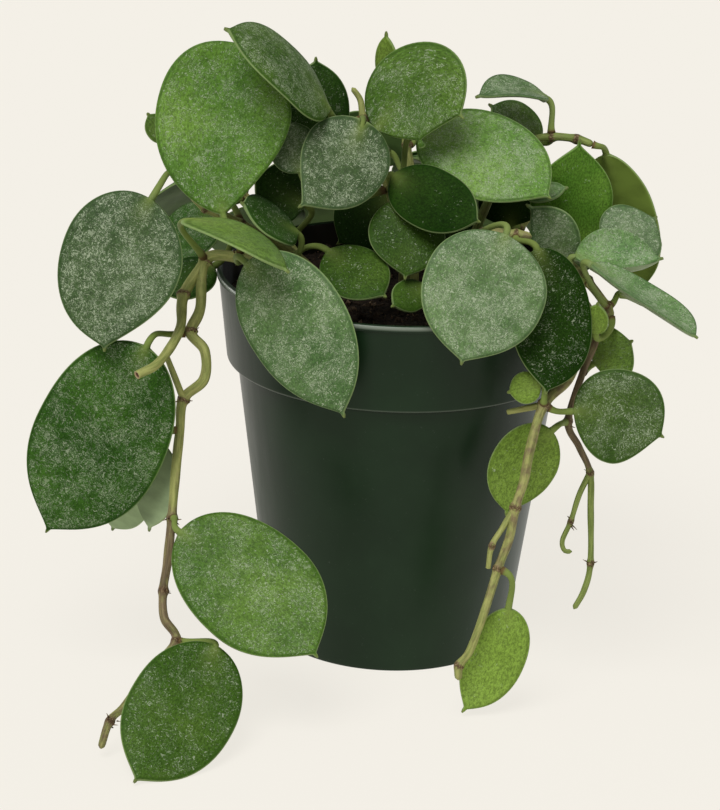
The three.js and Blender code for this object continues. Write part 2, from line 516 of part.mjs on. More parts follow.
// Half width of the blade at t, as a share of its broadest: a rounded base and a short pointed tip.
function bladeOutline(t, { widest = 0.45, sharp = 0.8, wedge = 0.5 }) {
  if (t < widest) {
    return (1 - ((widest - t) / widest) ** LEAF.baseRound) ** wedge;
  }
  const u = (t - widest) / (1 - widest);
  const point = 1 - LEAF.tipPull * Math.exp(-(1 - u) / LEAF.tipReach);
  return Math.max(0, 1 - u ** LEAF.shoulder) ** sharp * point;
}

function bladeFrame(leaf, t) {
  const base = vec(leaf.base);
  const span = vec(leaf.tip).sub(base);
  const axis = span.clone().normalize();
  const top = vec(leaf.face);
  top.addScaledVector(axis, -top.dot(axis)).normalize();
  const side = new THREE.Vector3().crossVectors(axis, top);
  const bend = top.clone().multiplyScalar(leaf.arch ?? 0).addScaledVector(side, leaf.sway ?? 0);
  const centre = base.addScaledVector(span, t).addScaledVector(bend, 4 * t * (1 - t));
  const along = span.clone().addScaledVector(bend, 4 * (1 - 2 * t)).normalize();
  const across = side.addScaledVector(along, -side.dot(along)).normalize();
  return { centre, along, across, up: new THREE.Vector3().crossVectors(across, along) };
}

// A point of the blade's skin: t along it, v across it from -1 to 1, and h 1 on top or -1 below.
function bladePoint(leaf, t, v, h) {
  const { centre, along, across, up } = bladeFrame(leaf, t);
  const share = Math.abs(v);
  const sign = v < 0 ? -1 : 1;
  const narrowest = t < LEAF.baseLength ? LEAF.petiole : LEAF.edge;
  const half = Math.max(leaf.width / 2 * bladeOutline(t, leaf), narrowest);
  const curl = degrees(leaf.curl ?? 0);
  const angle = curl * share;
  const out = curl ? Math.sin(angle) / curl : share;
  const rise = curl ? (1 - Math.cos(angle)) / curl : 0;
  const point = centre.addScaledVector(across, sign * half * out).addScaledVector(up, half * rise)
    .addScaledVector(along, -(leaf.lobe ?? 0) * share ** 2 * (1 - t) ** 3);
  const normal = up.multiplyScalar(Math.cos(angle)).addScaledVector(across, -sign * Math.sin(angle));
  return point.addScaledVector(normal, h * bladeHalfThickness(t, share, half));
}

// Thickest along the middle, where the petiole runs on into the blade as a rib, and thin at the edge.
function bladeHalfThickness(t, share, half) {
  const rib = LEAF.petiole * clamp(1 - t / LEAF.ribLength, 0, 1) ** 1.5 * (1 - share) ** 2;
  const crown = THREE.MathUtils.lerp(LEAF.rimShare, 1, Math.sqrt(1 - share * share));
  const taper = Math.min(1, LEAF.rimShare + half / LEAF.taperHalf);
  return (LEAF.thickness / 2 * crown + rib) * taper;
}

function petioleRings(leaf, start, count, ring) {
  const { along, across } = bladeFrame(leaf, 0);
  const base = vec(leaf.base);
  const reach = base.distanceTo(start.point) * LEAF.petioleReach;
  const curve = new THREE.CubicBezierCurve3(
    start.point, start.point.clone().addScaledVector(start.direction, reach),
    base.clone().addScaledVector(along, -reach), base,
  );
  const rings = [];
  const side = across.clone();
  let previous = along;
  for (let i = count - 1; i >= 0; i -= 1) {
    const tangent = curve.getTangent(i / count);
    side.applyQuaternion(new THREE.Quaternion().setFromUnitVectors(previous, tangent));
    previous = tangent;
    const up = new THREE.Vector3().crossVectors(side, tangent);
    const radius = LEAF.petiole * (i === 0 ? LEAF.footSwell : 1);
    rings.unshift(ring.map(([v, h]) => {
      const angle = Math.abs(v) < 1 ? Math.sign(h) * Math.acos(v) : Math.acos(v);
      return curve.getPoint(i / count).addScaledVector(side, radius * Math.cos(angle))
        .addScaledVector(up, radius * Math.sin(angle));
    }));
  }
  return rings;
}

function leafGeometry(leaf, start, ring = BLADE_RING) {
  const plain = leaf.width < SMALL_WIDTH || ring === PLAIN_RING;
  const steps = plain ? SMALL_BLADE_STEPS : BLADE_STEPS;
  const petiole = petioleRings(leaf, start, plain ? 3 : 4, ring);
  const blade = steps.map((t) => ring.map(([v, h]) => bladePoint(leaf, t, v, h)));
  return loft([...petiole, ...blade], start.point, vec(leaf.tip));
}

// A leafy stem in one body: its leaves' petioles are rooted in the stem.
function sprayGeometry(spray) {
  const leaves = spray.leaves.map((leaf) => {
    const toward = vec(leaf.base).sub(vec(spray.points[leaf.at])).toArray();
    return leafGeometry(leaf, petioleStart(spray, leaf.at, toward, -spray.r), PLAIN_RING);
  });
  return unite([stemGeometry(spray, STEM.spraySides), ...leaves]);
}

// ---------------------------------------------------------------- the part
const hoya = new THREE.Group();

function add(name, geometry, colour, roughness = 0.5) {
  const material = new THREE.MeshStandardMaterial({ color: COLOUR[colour], roughness, metalness: 0 });
  const mesh = new THREE.Mesh(geometry, material);
  mesh.name = name;
  hoya.add(mesh);
}

function soilWithHoles() {
  let solid = toSolid(soilGeometry());
  for (const { r, foot: [x, y] } of [...Object.values(STEMS), ...Object.values(SPRAYS)]) {
    const hole = uprightCylinder(r + SEAT, 2 * STEM.depth, x, y, SOIL.top - SEAT);
    solid = solid.subtract(toSolid(hole));
  }
  return toGeometry(solid);
}

add('pot', potGeometry(), 'pot', 0.45);
add('soil', soilWithHoles(), 'soil', 0.95);
for (const [name, stem] of Object.entries(STEMS)) {
  add(name, stemGeometry(stem), stem.colour, 0.6);
}
for (const leaf of LEAVES) {
  const [stem, number] = leaf.from;
  add(leaf.name, leafGeometry(leaf, petioleStart(STEMS[stem], number, leaf.toward, SEAT)), leaf.look, 0.4);
}
for (const [name, spray] of Object.entries(SPRAYS)) {
  add(name, sprayGeometry(spray), 'deep', 0.4);
}

export default hoya;
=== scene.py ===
"""A potted trailing hoya: fine leaves, stems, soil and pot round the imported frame.

The tables are in millimetres, in the frame's own axes: +Z up, the pot's front towards -Y and the pot's
base centre at the origin. Every leaf and stem lies where the frame's node of that name lies.
"""
import math
from collections import namedtuple

import bpy
import numpy as np
from mathutils import Matrix, Vector


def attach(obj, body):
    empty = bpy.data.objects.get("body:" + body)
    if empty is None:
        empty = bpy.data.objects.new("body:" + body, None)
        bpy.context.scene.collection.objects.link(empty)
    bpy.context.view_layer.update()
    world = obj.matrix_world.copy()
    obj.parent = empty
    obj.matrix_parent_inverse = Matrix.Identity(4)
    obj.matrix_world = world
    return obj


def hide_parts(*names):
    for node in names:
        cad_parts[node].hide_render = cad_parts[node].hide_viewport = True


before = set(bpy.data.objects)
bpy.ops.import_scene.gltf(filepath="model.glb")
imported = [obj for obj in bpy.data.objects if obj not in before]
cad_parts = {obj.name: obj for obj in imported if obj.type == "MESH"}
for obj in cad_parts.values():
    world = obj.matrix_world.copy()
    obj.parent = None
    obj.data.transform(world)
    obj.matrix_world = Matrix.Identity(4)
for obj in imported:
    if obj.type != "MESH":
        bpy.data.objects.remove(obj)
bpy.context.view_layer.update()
MM = 0.001

# ---------------- driving sizes in millimetres, with counts, shares and seeds
POT = dict(
    height=159, base=51, body_top=67, band_height=37.5, band_bottom=71.2, rim=76, lip_height=2.6,
    lip_out=0.9, wall=1.4, floor=1.8, segments=192, drain_radius=6, drain_circle=39, drain_count=6,
)
LEDGE = POT["height"] - POT["band_height"]
BAND_TOP = POT["rim"] - POT["lip_out"]
EDGE_HIGHLIGHT = dict(ledge=0.14, lip=0.5)  # how pale the ledge and lip are painted, as a highlight
SOIL = dict(
    top=147, rough=2.2, wave=34, waves=7, clearance=0.4, edge_drop=1.2, rings=44, segments=160,
    crumbs=1500, smallest=0.6, spread=1.9,
)
STEM = dict(sides=20, step=1.0, swell=0.35, reach=1.5, depth=24, neck=1, collar=5, taper=0.75)
LEAF = dict(
    thickness=1.9, rim=0.35, edge=0.36, point=1.3, petiole=1.4, foot=0.25, waist=0.15, reach=0.4, sunk=0.4,
    shoulder=2.3, wave=0.75, roll=0.4, droop=0.8, rib=0.75, vein=0.35, groove=0.3, sides=44, steps=52,
)
# A blade's usual form: where it is widest and how its outline runs in and out, then how it bends.
USUAL = dict(widest=0.45, wedge=0.5, sharp=0.8, pull=0.72, flare=0.09, lobe=0, curl=0, arch=0, sway=0)
SEEDS = dict(soil=7, leaves=100, stems=300, sprays=500)


def blade(base, tip, width, face, **own):
    """A blade from base to tip, its upper side turned to face, with its own form, flecks, haze and tone."""
    base, tip, face = (np.array(place, float) for place in (base, tip, face))
    return dict(USUAL, base=base, tip=tip, width=width, face=face, **own)


# A stem's points have a 1 at each node. The bark's share is given at shares of the stem's length.
STEMS = {
    "left_vine": dict(
        r=2.5, taper=0.6, colour="stem", rootlets=True, foot=(-34, -26),
        woody=((0, 0.1), (0.62, 0.15), (0.66, 0.9), (0.8, 0.7), (0.9, 0.3), (1, 0.6)),
        points=((-46, -28, 167), (-65, -29, 171, 1), (-79, -28, 169, 1), (-80, -42, 153),
                (-83, -52, 146, 1), (-77, -57, 140), (-77, -60, 129), (-85, -62, 121, 1), (-86, -66, 109),
                (-87, -72, 95), (-88, -78, 76, 1), (-89, -86, 60), (-90, -94, 51, 1), (-89, -100, 42),
                (-84, -104, 34, 1), (-94, -116, 25), (-102, -130, 17), (-107, -138, 14, 1),
                (-110, -143, 4.5)),
        branches=(
            dict(at=2, r=2.3,
                 points=((-87, -38, 157, 1), (-87, -58, 149), (-93, -84, 144), (-101, -92, 141))),
            dict(at=7, r=1.5, points=((-88, -66, 131), (-91, -70, 141))),
        ),
    ),
    "left_crown": dict(
        r=2.3, taper=0.85, colour="stem", foot=(-32, 4),
        points=((-48, -4, 168), (-66, -12, 180, 1), (-80, -16, 188, 1), (-86, -17, 194)),
    ),
    "centre_stem": dict(
        r=2.6, taper=0.45, colour="stem", foot=(2, -12), woody=((0, 0.5), (1, 0)),
        points=((0, -12, 176, 1), (-6, -11, 197, 1), (-13, -10, 213, 1), (-17, -8, 225, 1),
                (-18.5, -5, 232), (-22, -5, 237)),
    ),
    "front_right_stem": dict(
        r=2.2, taper=0.85, colour="stem", foot=(20, -28), woody=((0, 0.4), (1, 0.4)),
        points=((23, -34, 176, 1), (33, -38, 187, 1), (46, -38, 187, 1), (52, -40, 187)),
    ),
    "upper_right_stem": dict(
        r=2.1, taper=0.75, colour="woody", foot=(26, 10), woody=((0, 0.3), (0.5, 0.25), (1, 0.15)),
        points=((32, 8, 178), (42, 4, 203, 1), (52, 2, 215), (60, 0, 218, 1), (70, -2, 218, 1),
                (77, -3, 216)),
    ),
    "right_crown": dict(
        r=2.2, taper=0.8, colour="stem", foot=(44, 4), woody=((0, 0.3), (1, 0.5)),
        points=((56, -4, 166, 1), (66, -14, 170, 1), (76, -26, 165, 1), (84, -34, 157, 1), (86, -37, 153)),
    ),
    "right_vine": dict(
        r=2.5, taper=0.62, colour="stem", foot=(44, -26), woody=((0, 0.2), (0.3, 0.5), (0.7, 0.5), (1, 0.1)),
        points=((58, -34, 165), (71, -45, 158), (73, -51, 146), (69, -57, 134), (59, -68, 126, 1),
                (54, -76, 110), (52, -80, 98), (49, -84, 88, 1), (47, -87, 76), (43, -90, 64, 1),
                (38, -94, 46), (33, -97, 31), (29, -98, 25, 1), (29, -99, 19)),
        branches=(
            dict(at=4, r=1.4, points=((50, -66, 123), (45, -64, 121))),
            dict(at=7, r=1.35, points=((44, -87, 80), (40, -91, 74, 1), (39, -92, 65))),
        ),
    ),
    "right_runner": dict(
        r=1.7, taper=0.7, colour="woody", rootlets=True, foot=(58, -22),
        woody=((0, 0.7), (0.66, 1), (0.7, 0), (1, 0)),
        points=((70, -33, 163), (80, -42, 150), (75, -47, 133), (70, -50, 113, 1), (75, -50, 102),
                (80, -50, 91, 1), (81, -52, 76), (82, -54, 53, 1), (80, -56, 42), (76, -58, 34)),
        branches=(
            dict(at=5, r=1.25, rootlets=True, cut=False,
                 points=((76, -52, 82), (73, -54, 71, 1), (70, -55, 63), (71, -56, 59), (74, -57, 59))),
        ),
    ),
}

# Name, look, the stem and the number of its point that the leaf grows from, the way its petiole sets off.
LEAVES = (
    ("tall_left", "mid", "left_vine", 1, (-0.1, -0.3, 1),
     blade((-71, -47, 194), (-60, -16, 256), 54, (0.05, -0.93, 0.36), widest=0.6, sharp=0.6, wedge=0.8,
           curl=12, sway=-8, haze=0.12, tone=1.25)),
    ("peak_left", "mid", "centre_stem", 3, (-1, -0.1, 0.2),
     blade((-31, -23, 232), (-72, -40, 268), 42, (0.55, -0.28, 0.8), curl=-8, arch=5, fleck=0.8, haze=0.08,
           tone=0.7)),
    ("behind_peak", "deep", "centre_stem", 2, (-0.6, 1, 0.1),
     blade((-36, 4, 205), (-37, 0, 248), 28, (0.2, -0.9, 0.4), fleck=0.2, tone=0.6)),
    ("heart_centre", "silver", "centre_stem", 3, (-0.1, -1, 0.2),
     blade((-18, -26, 225), (-41, -54, 200), 36, (0.2, -0.85, 0.5), widest=0.34, sharp=0.9, pull=0.75,
           flare=0.2, lobe=5, sway=-3, haze=0.25, tone=0.5)),
    ("round_top", "mid", "centre_stem", 2, (1, -0.6, 0.2),
     blade((-11, -18, 223), (23, -34, 233), 43, (0.1, -0.9, 0.4), widest=0.52, sharp=0.7, sway=-12,
           fleck=0.6, haze=0.12, tone=0.85)),
    ("young_top", "young", "centre_stem", 3, (0.6, 0.8, 0.2),
     blade((-5, 6, 229), (-9, 2, 259), 12, (-0.5, -0.8, 0.3), sway=-1)),
    ("broad_right", "mid", "centre_stem", 1, (1, 0.3, 0.2),
     blade((5, -9, 219), (59, -40, 203), 39, (0.15, -0.8, 0.55), sway=-5, fleck=0.75, haze=0.4, tone=1.5)),
    ("dark_centre", "deep", "centre_stem", 1, (0.3, -1, 0.2),
     blade((-4, -24, 206), (31, -56, 197), 26, (0.1, -0.9, 0.4), sharp=0.7, sway=1, fleck=0.04, haze=0,
           tone=0.4)),
    ("low_centre", "mid", "centre_stem", 0, (0.2, -1, 0.5),
     blade((-1, -28, 198), (2, -52, 171), 31, (0.1, -0.85, 0.5), flare=0.12, sway=-2, fleck=0.2, haze=0,
           tone=0.5)),
    ("soil_left", "mid", "left_vine", 0, (0.9, 0.3, 0.2),
     blade((-29, -36, 177), (-5, -60, 166), 25, (0.1, -0.75, 0.65), widest=0.5, flare=0.12, fleck=0.15,
           haze=0, tone=0.55)),
    ("front_left", "silver", "left_vine", 1, (0.2, -1, -0.1),
     blade((-61, -56, 177), (-20, -86, 124), 43, (-0.4, -0.85, 0.3), widest=0.42, sway=-4, fleck=0.65,
           haze=0.25, tone=0.95)),
    ("folded_left", "under", "left_vine", 2, (0.1, -0.2, 1),
     blade((-80, -62, 195), (-43, -80, 181), 23, (0.3, -0.12, 0.95), lobe=7, arch=4, fleck=0.02, haze=0.25,
           tone=1.25)),
    ("outer_left", "silver", "left_crown", 3, (-0.7, 0, 0.7),
     blade((-99, -56, 202), (-115, -80, 146), 50, (-0.2, -0.9, 0.35), widest=0.42, sway=5, haze=0.15,
           tone=0.5)),
    ("big_low_left", "deep", "left_vine", 4, (-1, 0.2, 0),
     blade((-99, -76, 147), (-140, -66, 63), 55, (-0.1, -0.93, 0.36), widest=0.5, sway=-1)),
    # These two leaves' tones are raised far above the rest as painted light, for leaves that lie in another
    # leaf's shadow.
    ("pale_low_left", "silver", "left_vine", 8, (-0.2, 1, 0),
     blade((-103, -44, 87), (-115, -44, 56), 24, (0.3, 0.9, -0.3), sharp=0.5, fleck=0.1, haze=0.45, tone=3)),
    ("olive_low_left", "silver", "left_vine", 8, (-1, -0.3, 0),
     blade((-93, -62, 101), (-98, -66, 65), 22, (0.6, 0.75, -0.3), fleck=0.1, haze=0.35, tone=2.1)),
    ("hanging_left", "mid", "left_vine", 10, (0.4, -1, 0.1),
     blade((-84, -90, 75), (-27, -122, 37), 49, (0.2, -0.85, 0.45), widest=0.5, sway=-3.5, haze=0.08,
           tone=0.95)),
    ("floor_left", "mid", "left_vine", 14, (0.9, -0.3, 0.1),
     blade((-68, -113, 35), (-95, -166, 2), 43, (0.1, -0.85, 0.5), widest=0.46, lobe=2, sway=-1.5,
           fleck=0.35, haze=0.03, tone=0.72)),
    ("front_right", "silver", "front_right_stem", 1, (0.2, -0.9, 0.5),
     blade((41, -62, 194), (25, -90, 149), 49, (0.05, -0.93, 0.36), widest=0.43, sway=1, haze=0.45, tone=1)),
    ("dark_right", "deep", "front_right_stem", 2, (0.2, -0.9, -0.2),
     blade((54, -50, 185), (59, -76, 133), 34, (0.25, -0.9, 0.3), widest=0.5, sway=-4.5, fleck=0.28, haze=0,
           tone=0.4)),
    ("silver_right", "silver", "right_crown", 0, (0, -1, 0.3),
     blade((65, -25, 171), (49.5, -30, 197.5), 20, (-0.2, -0.9, 0.3), sharp=1.3, sway=4, tone=0.9)),
    ("upright_right", "mid", "right_crown", 0, (0.5, 1, 0.8),
     blade((68, -4, 173), (71, -10, 220), 34, (0.1, -0.95, 0.3), widest=0.42, sharp=1.25, fleck=0.05,
           haze=0, tone=1.45)),
    ("olive_right", "under", "upper_right_stem", 5, (1, 0, 0),
     blade((83, 5, 210), (103, 8, 152), 34, (0.55, 0.75, 0.35), tone=0.95)),
    ("silver_outer", "silver", "right_crown", 1, (0.8, 0.5, 0.4),
     blade((85, -19, 176), (104, -11, 189), 30, (0.1, -0.7, 0.7), haze=0.6, tone=0.95)),
    ("curled_right", "silver", "right_crown", 2, (-1, -0.5, 0.3),
     blade((70, -30, 176), (106, -30, 177), 32, (0.05, -0.4, 0.92), curl=70, arch=-3, haze=0.35, tone=1.6)),
    ("narrow_right", "silver", "right_crown", 3, (-0.1, -1, 0.2),
     blade((76, -53, 180), (118, -71, 157), 26, (0.4, -0.1, 0.9), widest=0.6, sharp=0.4, wedge=0.4, curl=35,
           haze=0.5, tone=1.5)),
    ("brown_right", "under", "right_crown", 3, (1, 0.6, 0.5),
     blade((90, -29, 161), (101, -36, 159), 18, (0.1, 0.5, 0.9))),
    ("yellow_right", "young", "right_crown", 4, (-0.2, -1, -0.2),
     blade((79, -51, 151), (79, -54, 165), 10, (-0.3, -0.9, 0.3))),
    ("round_low_right", "mid", "right_vine", 4, (0.9, 0, -0.5),
     blade((71, -66, 123), (107, -74, 116), 38, (0.1, -0.93, 0.35), widest=0.5, sharp=0.7, sway=-3,
           fleck=0.5, haze=0.12, tone=0.5)),
    ("rim_right", "under", "right_runner", 2, (0.5, 1, 0.2),
     blade((80, -38, 134), (95, -40, 145), 24, (0.1, -0.8, 0.5), haze=0.2, tone=1.6)),
    ("small_low_right", "young", "right_vine", 4, (-0.3, -1, 0.3),
     blade((57, -69, 135), (44, -72, 132), 13, (0.1, -0.93, 0.35))),
    ("yellow_vine", "young", "right_runner", 3, (-0.6, -1, 0),
     blade((63, -62, 113), (46, -68, 78), 27, (0.2, -0.93, 0.35), sway=3.5, tone=0.8)),
    ("floor_right", "young", "right_vine", 9, (0.6, -0.5, -0.6),
     blade((48, -88, 46), (31, -93, 2), 25, (0.2, -0.93, 0.35), sway=-3.5, tone=1.1)),
    ("arched_top", "silver", "upper_right_stem", 3, (-0.1, 0.1, 1),
     blade((57, 4, 233), (28, -6, 235), 24, (0, -0.15, 0.98), curl=25, arch=3)),
    ("behind_broad", "mid", "upper_right_stem", 3, (-0.1, 1, -0.2),
     blade((56, 12, 213), (34, 12, 228), 20, (0.25, -0.75, 0.6), fleck=0.8, haze=0.4, tone=0.9)),
    ("tip_right", "silver", "upper_right_stem", 1, (0.3, -1, -0.2),
     blade((50, -12, 196), (67, -15, 201), 9, (0, -0.7, 0.7), haze=0.6, tone=1.6)),
    ("tip_left", "under", "left_crown", 1, (-0.5, 0.6, 0.5),
     blade((-96, -8, 213), (-105, -6, 224), 11, (0.1, -0.9, 0.3))),
    ("silver_left", "silver", "centre_stem", 1, (-1, -0.4, 0.1),
     blade((-41, -28, 207), (-48, -22, 228), 20, (0.1, -0.9, 0.3), tone=0.7)),
    ("inner_left", "deep", "left_vine", 0, (0.3, -0.8, 0.5),
     blade((-42, -36, 184), (-64, -49, 200), 26, (0.1, -0.4, 0.9), fleck=0.3, tone=0.7)),
    ("rolled_left", "deep", "left_crown", 1, (-0.2, 0, -1),
     blade((-77, -6, 160), (-99, -18, 151), 20, (0.2, -0.5, 0.8), fleck=0.2, tone=0.7)),
    ("soil_right", "mid", "front_right_stem", 0, (-0.6, -1, 0),
     blade((10, -44, 166), (-3, -60, 162), 14, (0.1, -0.8, 0.5), fleck=0.1, haze=0.02, tone=0.7)),
    # A dark leaf in the shaded middle of the plant, darkened by its tone as painted shade.
    ("shade_left", "deep", "left_crown", 0, (0.4, 0.3, 1),
     blade((-40, -14, 190), (-61, -20, 201), 26, (0.1, -0.8, 0.5), fleck=0.1, tone=0.5)),
)

# The plant's far side: leafy stems, each leaf with the number of the point that it grows from.
SPRAYS = {
    "rear_spray_left": dict(
        r=2.3, foot=(-42, 28),
        points=((-54, 34, 166, 1), (-68, 38, 178, 1), (-82, 38, 180, 1), (-88, 36, 178)),
        leaves=(
            (0, blade((-54, 46, 174), (-74, 78, 138), 42, (-0.3, 0.7, 0.65))),
            (1, blade((-78, 24, 176), (-108, 14, 152), 42, (-0.4, -0.3, 0.8))),
            (1, blade((-70, 44, 188), (-76, 52, 218), 32, (-0.2, 0.95, 0.2))),
            (2, blade((-90, 46, 184), (-112, 70, 150), 44, (-0.6, 0.5, 0.6))),
        ),
    ),
    "rear_spray_back_left": dict(
        r=2.3, foot=(-16, 36),
        points=((-20, 48, 168, 1), (-28, 58, 184, 1), (-36, 64, 190, 1), (-40, 68, 190)),
        leaves=(
            (0, blade((-26, 60, 177), (-36, 94, 134), 44, (-0.2, 0.75, 0.6), arch=5)),
            (1, blade((-36, 46, 198), (-52, 26, 208), 32, (-0.1, -0.3, 0.95))),
            (2, blade((-36, 78, 188), (-44, 112, 158), 46, (-0.2, 0.7, 0.7))),
            (1, blade((-20, 58, 192), (-6, 56, 210), 34, (0.1, 0.85, 0.4))),
        ),
    ),
    "rear_spray_back": dict(
        r=2.3, foot=(14, 42),
        points=((16, 54, 168, 1), (20, 64, 182, 1), (26, 74, 188, 1), (29, 78, 188)),
        leaves=(
            (0, blade((24, 64, 177), (30, 100, 132), 38, (0.2, 0.75, 0.5), arch=5)),
            (1, blade((8, 72, 188), (-14, 92, 180), 36, (-0.1, 0.4, 0.9))),
            (2, blade((38, 80, 190), (64, 98, 166), 44, (0.3, 0.6, 0.7))),
            (2, blade((22, 86, 188), (10, 118, 158), 44, (0, 0.7, 0.7))),
        ),
    ),
    "rear_spray_right": dict(
        r=2.3, foot=(42, 30),
        points=((50, 36, 168, 1), (60, 40, 180, 1), (72, 42, 182, 1), (76, 43, 181)),
        leaves=(
            (0, blade((56, 50, 176), (76, 76, 134), 40, (0.5, 0.55, 0.6), arch=5)),
            (1, blade((66, 34, 186), (90, 32, 184), 28, (0.3, -0.2, 0.9))),
            (2, blade((84, 46, 182), (110, 58, 152), 40, (0.6, 0.5, 0.6))),
            (2, blade((74, 56, 184), (80, 90, 156), 42, (0.3, 0.6, 0.7))),
            (1, blade((52, 46, 190), (38, 54, 206), 34, (0, 0.8, 0.5))),
            # This leaf is darkened by its tone as painted shade in the middle of the plant.
            (0, blade((46, 28, 172), (45, 18, 196), 28, (0, -0.9, 0.4), fleck=0.05, haze=0, tone=0.35)),
        ),
    ),
    "rear_spray_top": dict(
        r=2.2, foot=(6, 16),
        points=((5, 22, 176, 1), (3, 28, 194, 1), (1, 32, 204, 1), (0, 34, 208)),
        leaves=(
            (0, blade((16, 28, 186), (42, 34, 200), 32, (0.1, 0.6, 0.8))),
            (1, blade((-6, 34, 200), (-32, 40, 208), 30, (-0.2, 0.6, 0.8))),
            (2, blade((6, 38, 206), (22, 52, 208), 30, (0.2, 0.6, 0.8))),
            # These two leaves are darkened by their tone as painted shade in the middle of the plant.
            (0, blade((-4, 27, 184), (-27, 20, 163), 30, (0, -0.85, 0.5), fleck=0.05, haze=0, tone=0.3)),
            (0, blade((14, 22, 181), (27, 19, 161), 27, (0, -0.85, 0.5), fleck=0.05, haze=0, tone=0.3)),
        ),
    ),
    "rear_vine": dict(
        r=2.3, rootlets=True, foot=(-4, 54),
        points=((-3, 70, 167), (-1, 84, 160, 1), (0, 87, 144), (-2, 88, 124, 1), (2, 88, 102),
                (0, 86, 82, 1), (-3, 86, 64), (-4, 86, 50, 1), (-4, 86, 42)),
        leaves=(
            (3, blade((12, 96, 120), (38, 100, 86), 40, (0.2, 0.95, 0.2))),
            (3, blade((-16, 96, 118), (-40, 100, 82), 40, (-0.2, 0.95, 0.2))),
            (5, blade((10, 94, 76), (18, 98, 34), 36, (0.1, 0.95, 0.2))),
            (7, blade((-14, 92, 46), (-26, 96, 10), 30, (-0.1, 0.95, 0.2))),
        ),
    ),
}


# ---------------- vectors and curves
def unit(v):
    v = np.asarray(v, float)
    return v / np.linalg.norm(v, axis=-1, keepdims=True)


def squared(v, axis):
    """The part of v that is square to the axis, at length 1."""
    return unit(v - np.dot(v, axis) * axis)


def square_to(axis):
    up = np.array([0, 0, 1.0]) if abs(axis[2]) < 0.9 else np.array([1.0, 0, 0])
    return squared(up, axis)


def smooth(low, high, x):
    s = np.clip((np.asarray(x, float) - low) / (high - low), 0, 1)
    return s * s * (3 - 2 * s)


def bell(x, width):
    return np.exp(-(x / width) ** 2)


def angles(count):
    return 2 * np.pi * np.arange(count) / count


def ring(theta, side, across):
    """Directions round a ring, or round several, that start at side and turn towards across."""
    return np.cos(theta)[:, None] * side[..., None, :] + np.sin(theta)[:, None] * across[..., None, :]


def joined(*values):
    """The values side by side at each point, each spread to the shape that they share."""
    return np.stack(np.broadcast_arrays(*values), -1)


def tangents(places):
    return unit(np.gradient(places, axis=0))


SPAN = 40  # places on each span of a dense curve


def curve_points(points):
    """A smooth curve through the points, which may have a node's mark behind them."""
    p = np.array([q[:3] for q in points], float)
    p = np.vstack([2 * p[0] - p[1], p, 2 * p[-1] - p[-2]])
    u = (np.arange(SPAN) / SPAN)[:, None]
    spans = []
    for i in range(1, len(p) - 2):
        a, b, c, d = p[i - 1:i + 3]
        spans.append(0.5 * (2 * b + (c - a) * u + (2 * a - 5 * b + 4 * c - d) * u ** 2
                            + (3 * b - a - 3 * c + d) * u ** 3))
    return np.vstack([*spans, p[-2]])


def even_path(points):
    """The curve cut at even steps: places, distance along, and the distances of the nodes."""
    dense = curve_points(points)
    along = np.concatenate([[0], np.cumsum(np.linalg.norm(np.diff(dense, axis=0), axis=1))])
    count = max(2, int(round(along[-1] / STEM["step"])))
    s = np.linspace(0, along[-1], count + 1)
    places = joined(*(np.interp(s, along, line) for line in dense.T))
    nodes = [along[i * SPAN] for i, p in enumerate(points) if len(p) > 3]
    return places, s, nodes


def turned(v, old, new):
    """v carried along when the direction old turns into new."""
    axis = np.cross(old, new)
    sine = np.linalg.norm(axis)
    if sine < 1e-9:
        return v
    axis = axis / sine
    cosine = float(np.dot(old, new))
    return v * cosine + np.cross(axis, v) * sine + axis * np.dot(axis, v) * (1 - cosine)


def carried(side, directions):
    """The side direction at each place of a path, carried along without twisting."""
    sides = [side]
    for old, new in zip(directions[:-1], directions[1:]):
        sides.append(turned(sides[-1], old, new))
    return np.array(sides)


# ---------------- meshes
# A closed body: its points in millimetres, its faces, three values at each point and its material's number.
Body = namedtuple("Body", "points faces place skin finish material")


def loft(rings, start, end, place, skin, finish, material=0):
    """A body through rings of points, capped by a point at each end. Values come as one row a ring point."""
    count, around = rings.shape[:2]
    points = np.vstack([rings.reshape(-1, 3), start, end])
    grid = np.arange(count * around).reshape(count, around)
    after = np.roll(grid, -1, 1)
    quads = np.stack([grid[:-1], after[:-1], after[1:], grid[1:]], -1).reshape(-1, 4)
    first, last = count * around, count * around + 1
    caps = [(first, j, i) for i, j in zip(grid[0], after[0])]
    caps += [(last, i, j) for i, j in zip(grid[-1], after[-1])]
    corners = points[quads]
    volume = sum(np.sum(corners[:, 0] * np.cross(corners[:, k], corners[:, k + 1])) for k in (1, 2))
    faces = [*quads.tolist(), *caps]
    if volume < 0:
        faces = [tuple(reversed(f)) for f in faces]
    full = [np.vstack([v.reshape(-1, 3), v[0].mean(0), v[-1].mean(0)]) for v in (place, skin, finish)]
    return Body(points, faces, *full, material)


def make_piece(name, bodies, materials, smooth_shade=True):
    """One object of all the bodies, with their values as attributes for the materials."""
    points = np.vstack([body.points for body in bodies]) * MM
    points[:, 2] = np.maximum(points[:, 2], 0)  # nothing goes below the surface that the pot stands on
    faces, which, offset = [], [], 0
    for body in bodies:
        faces += [tuple(int(i) + offset for i in f) for f in body.faces]
        which += [body.material] * len(body.faces)
        offset += len(body.points)
    mesh = bpy.data.meshes.new(name + "_fine")
    mesh.from_pydata(points.tolist(), [], faces)
    for key in ("place", "skin", "finish"):
        attribute = mesh.attributes.new(key, "FLOAT_VECTOR", "POINT")
        values = np.vstack([getattr(body, key) for body in bodies]).astype(np.float32)
        attribute.data.foreach_set("vector", values.ravel())
    mesh.polygons.foreach_set("material_index", which)
    mesh.polygons.foreach_set("use_smooth", [smooth_shade] * len(faces))
    for material in materials:
        mesh.materials.append(material)
    mesh.update()
    piece = bpy.data.objects.new(name + "_fine", mesh)
    bpy.context.scene.collection.objects.link(piece)
    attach(piece, "root")
    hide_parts(name)
    return piece


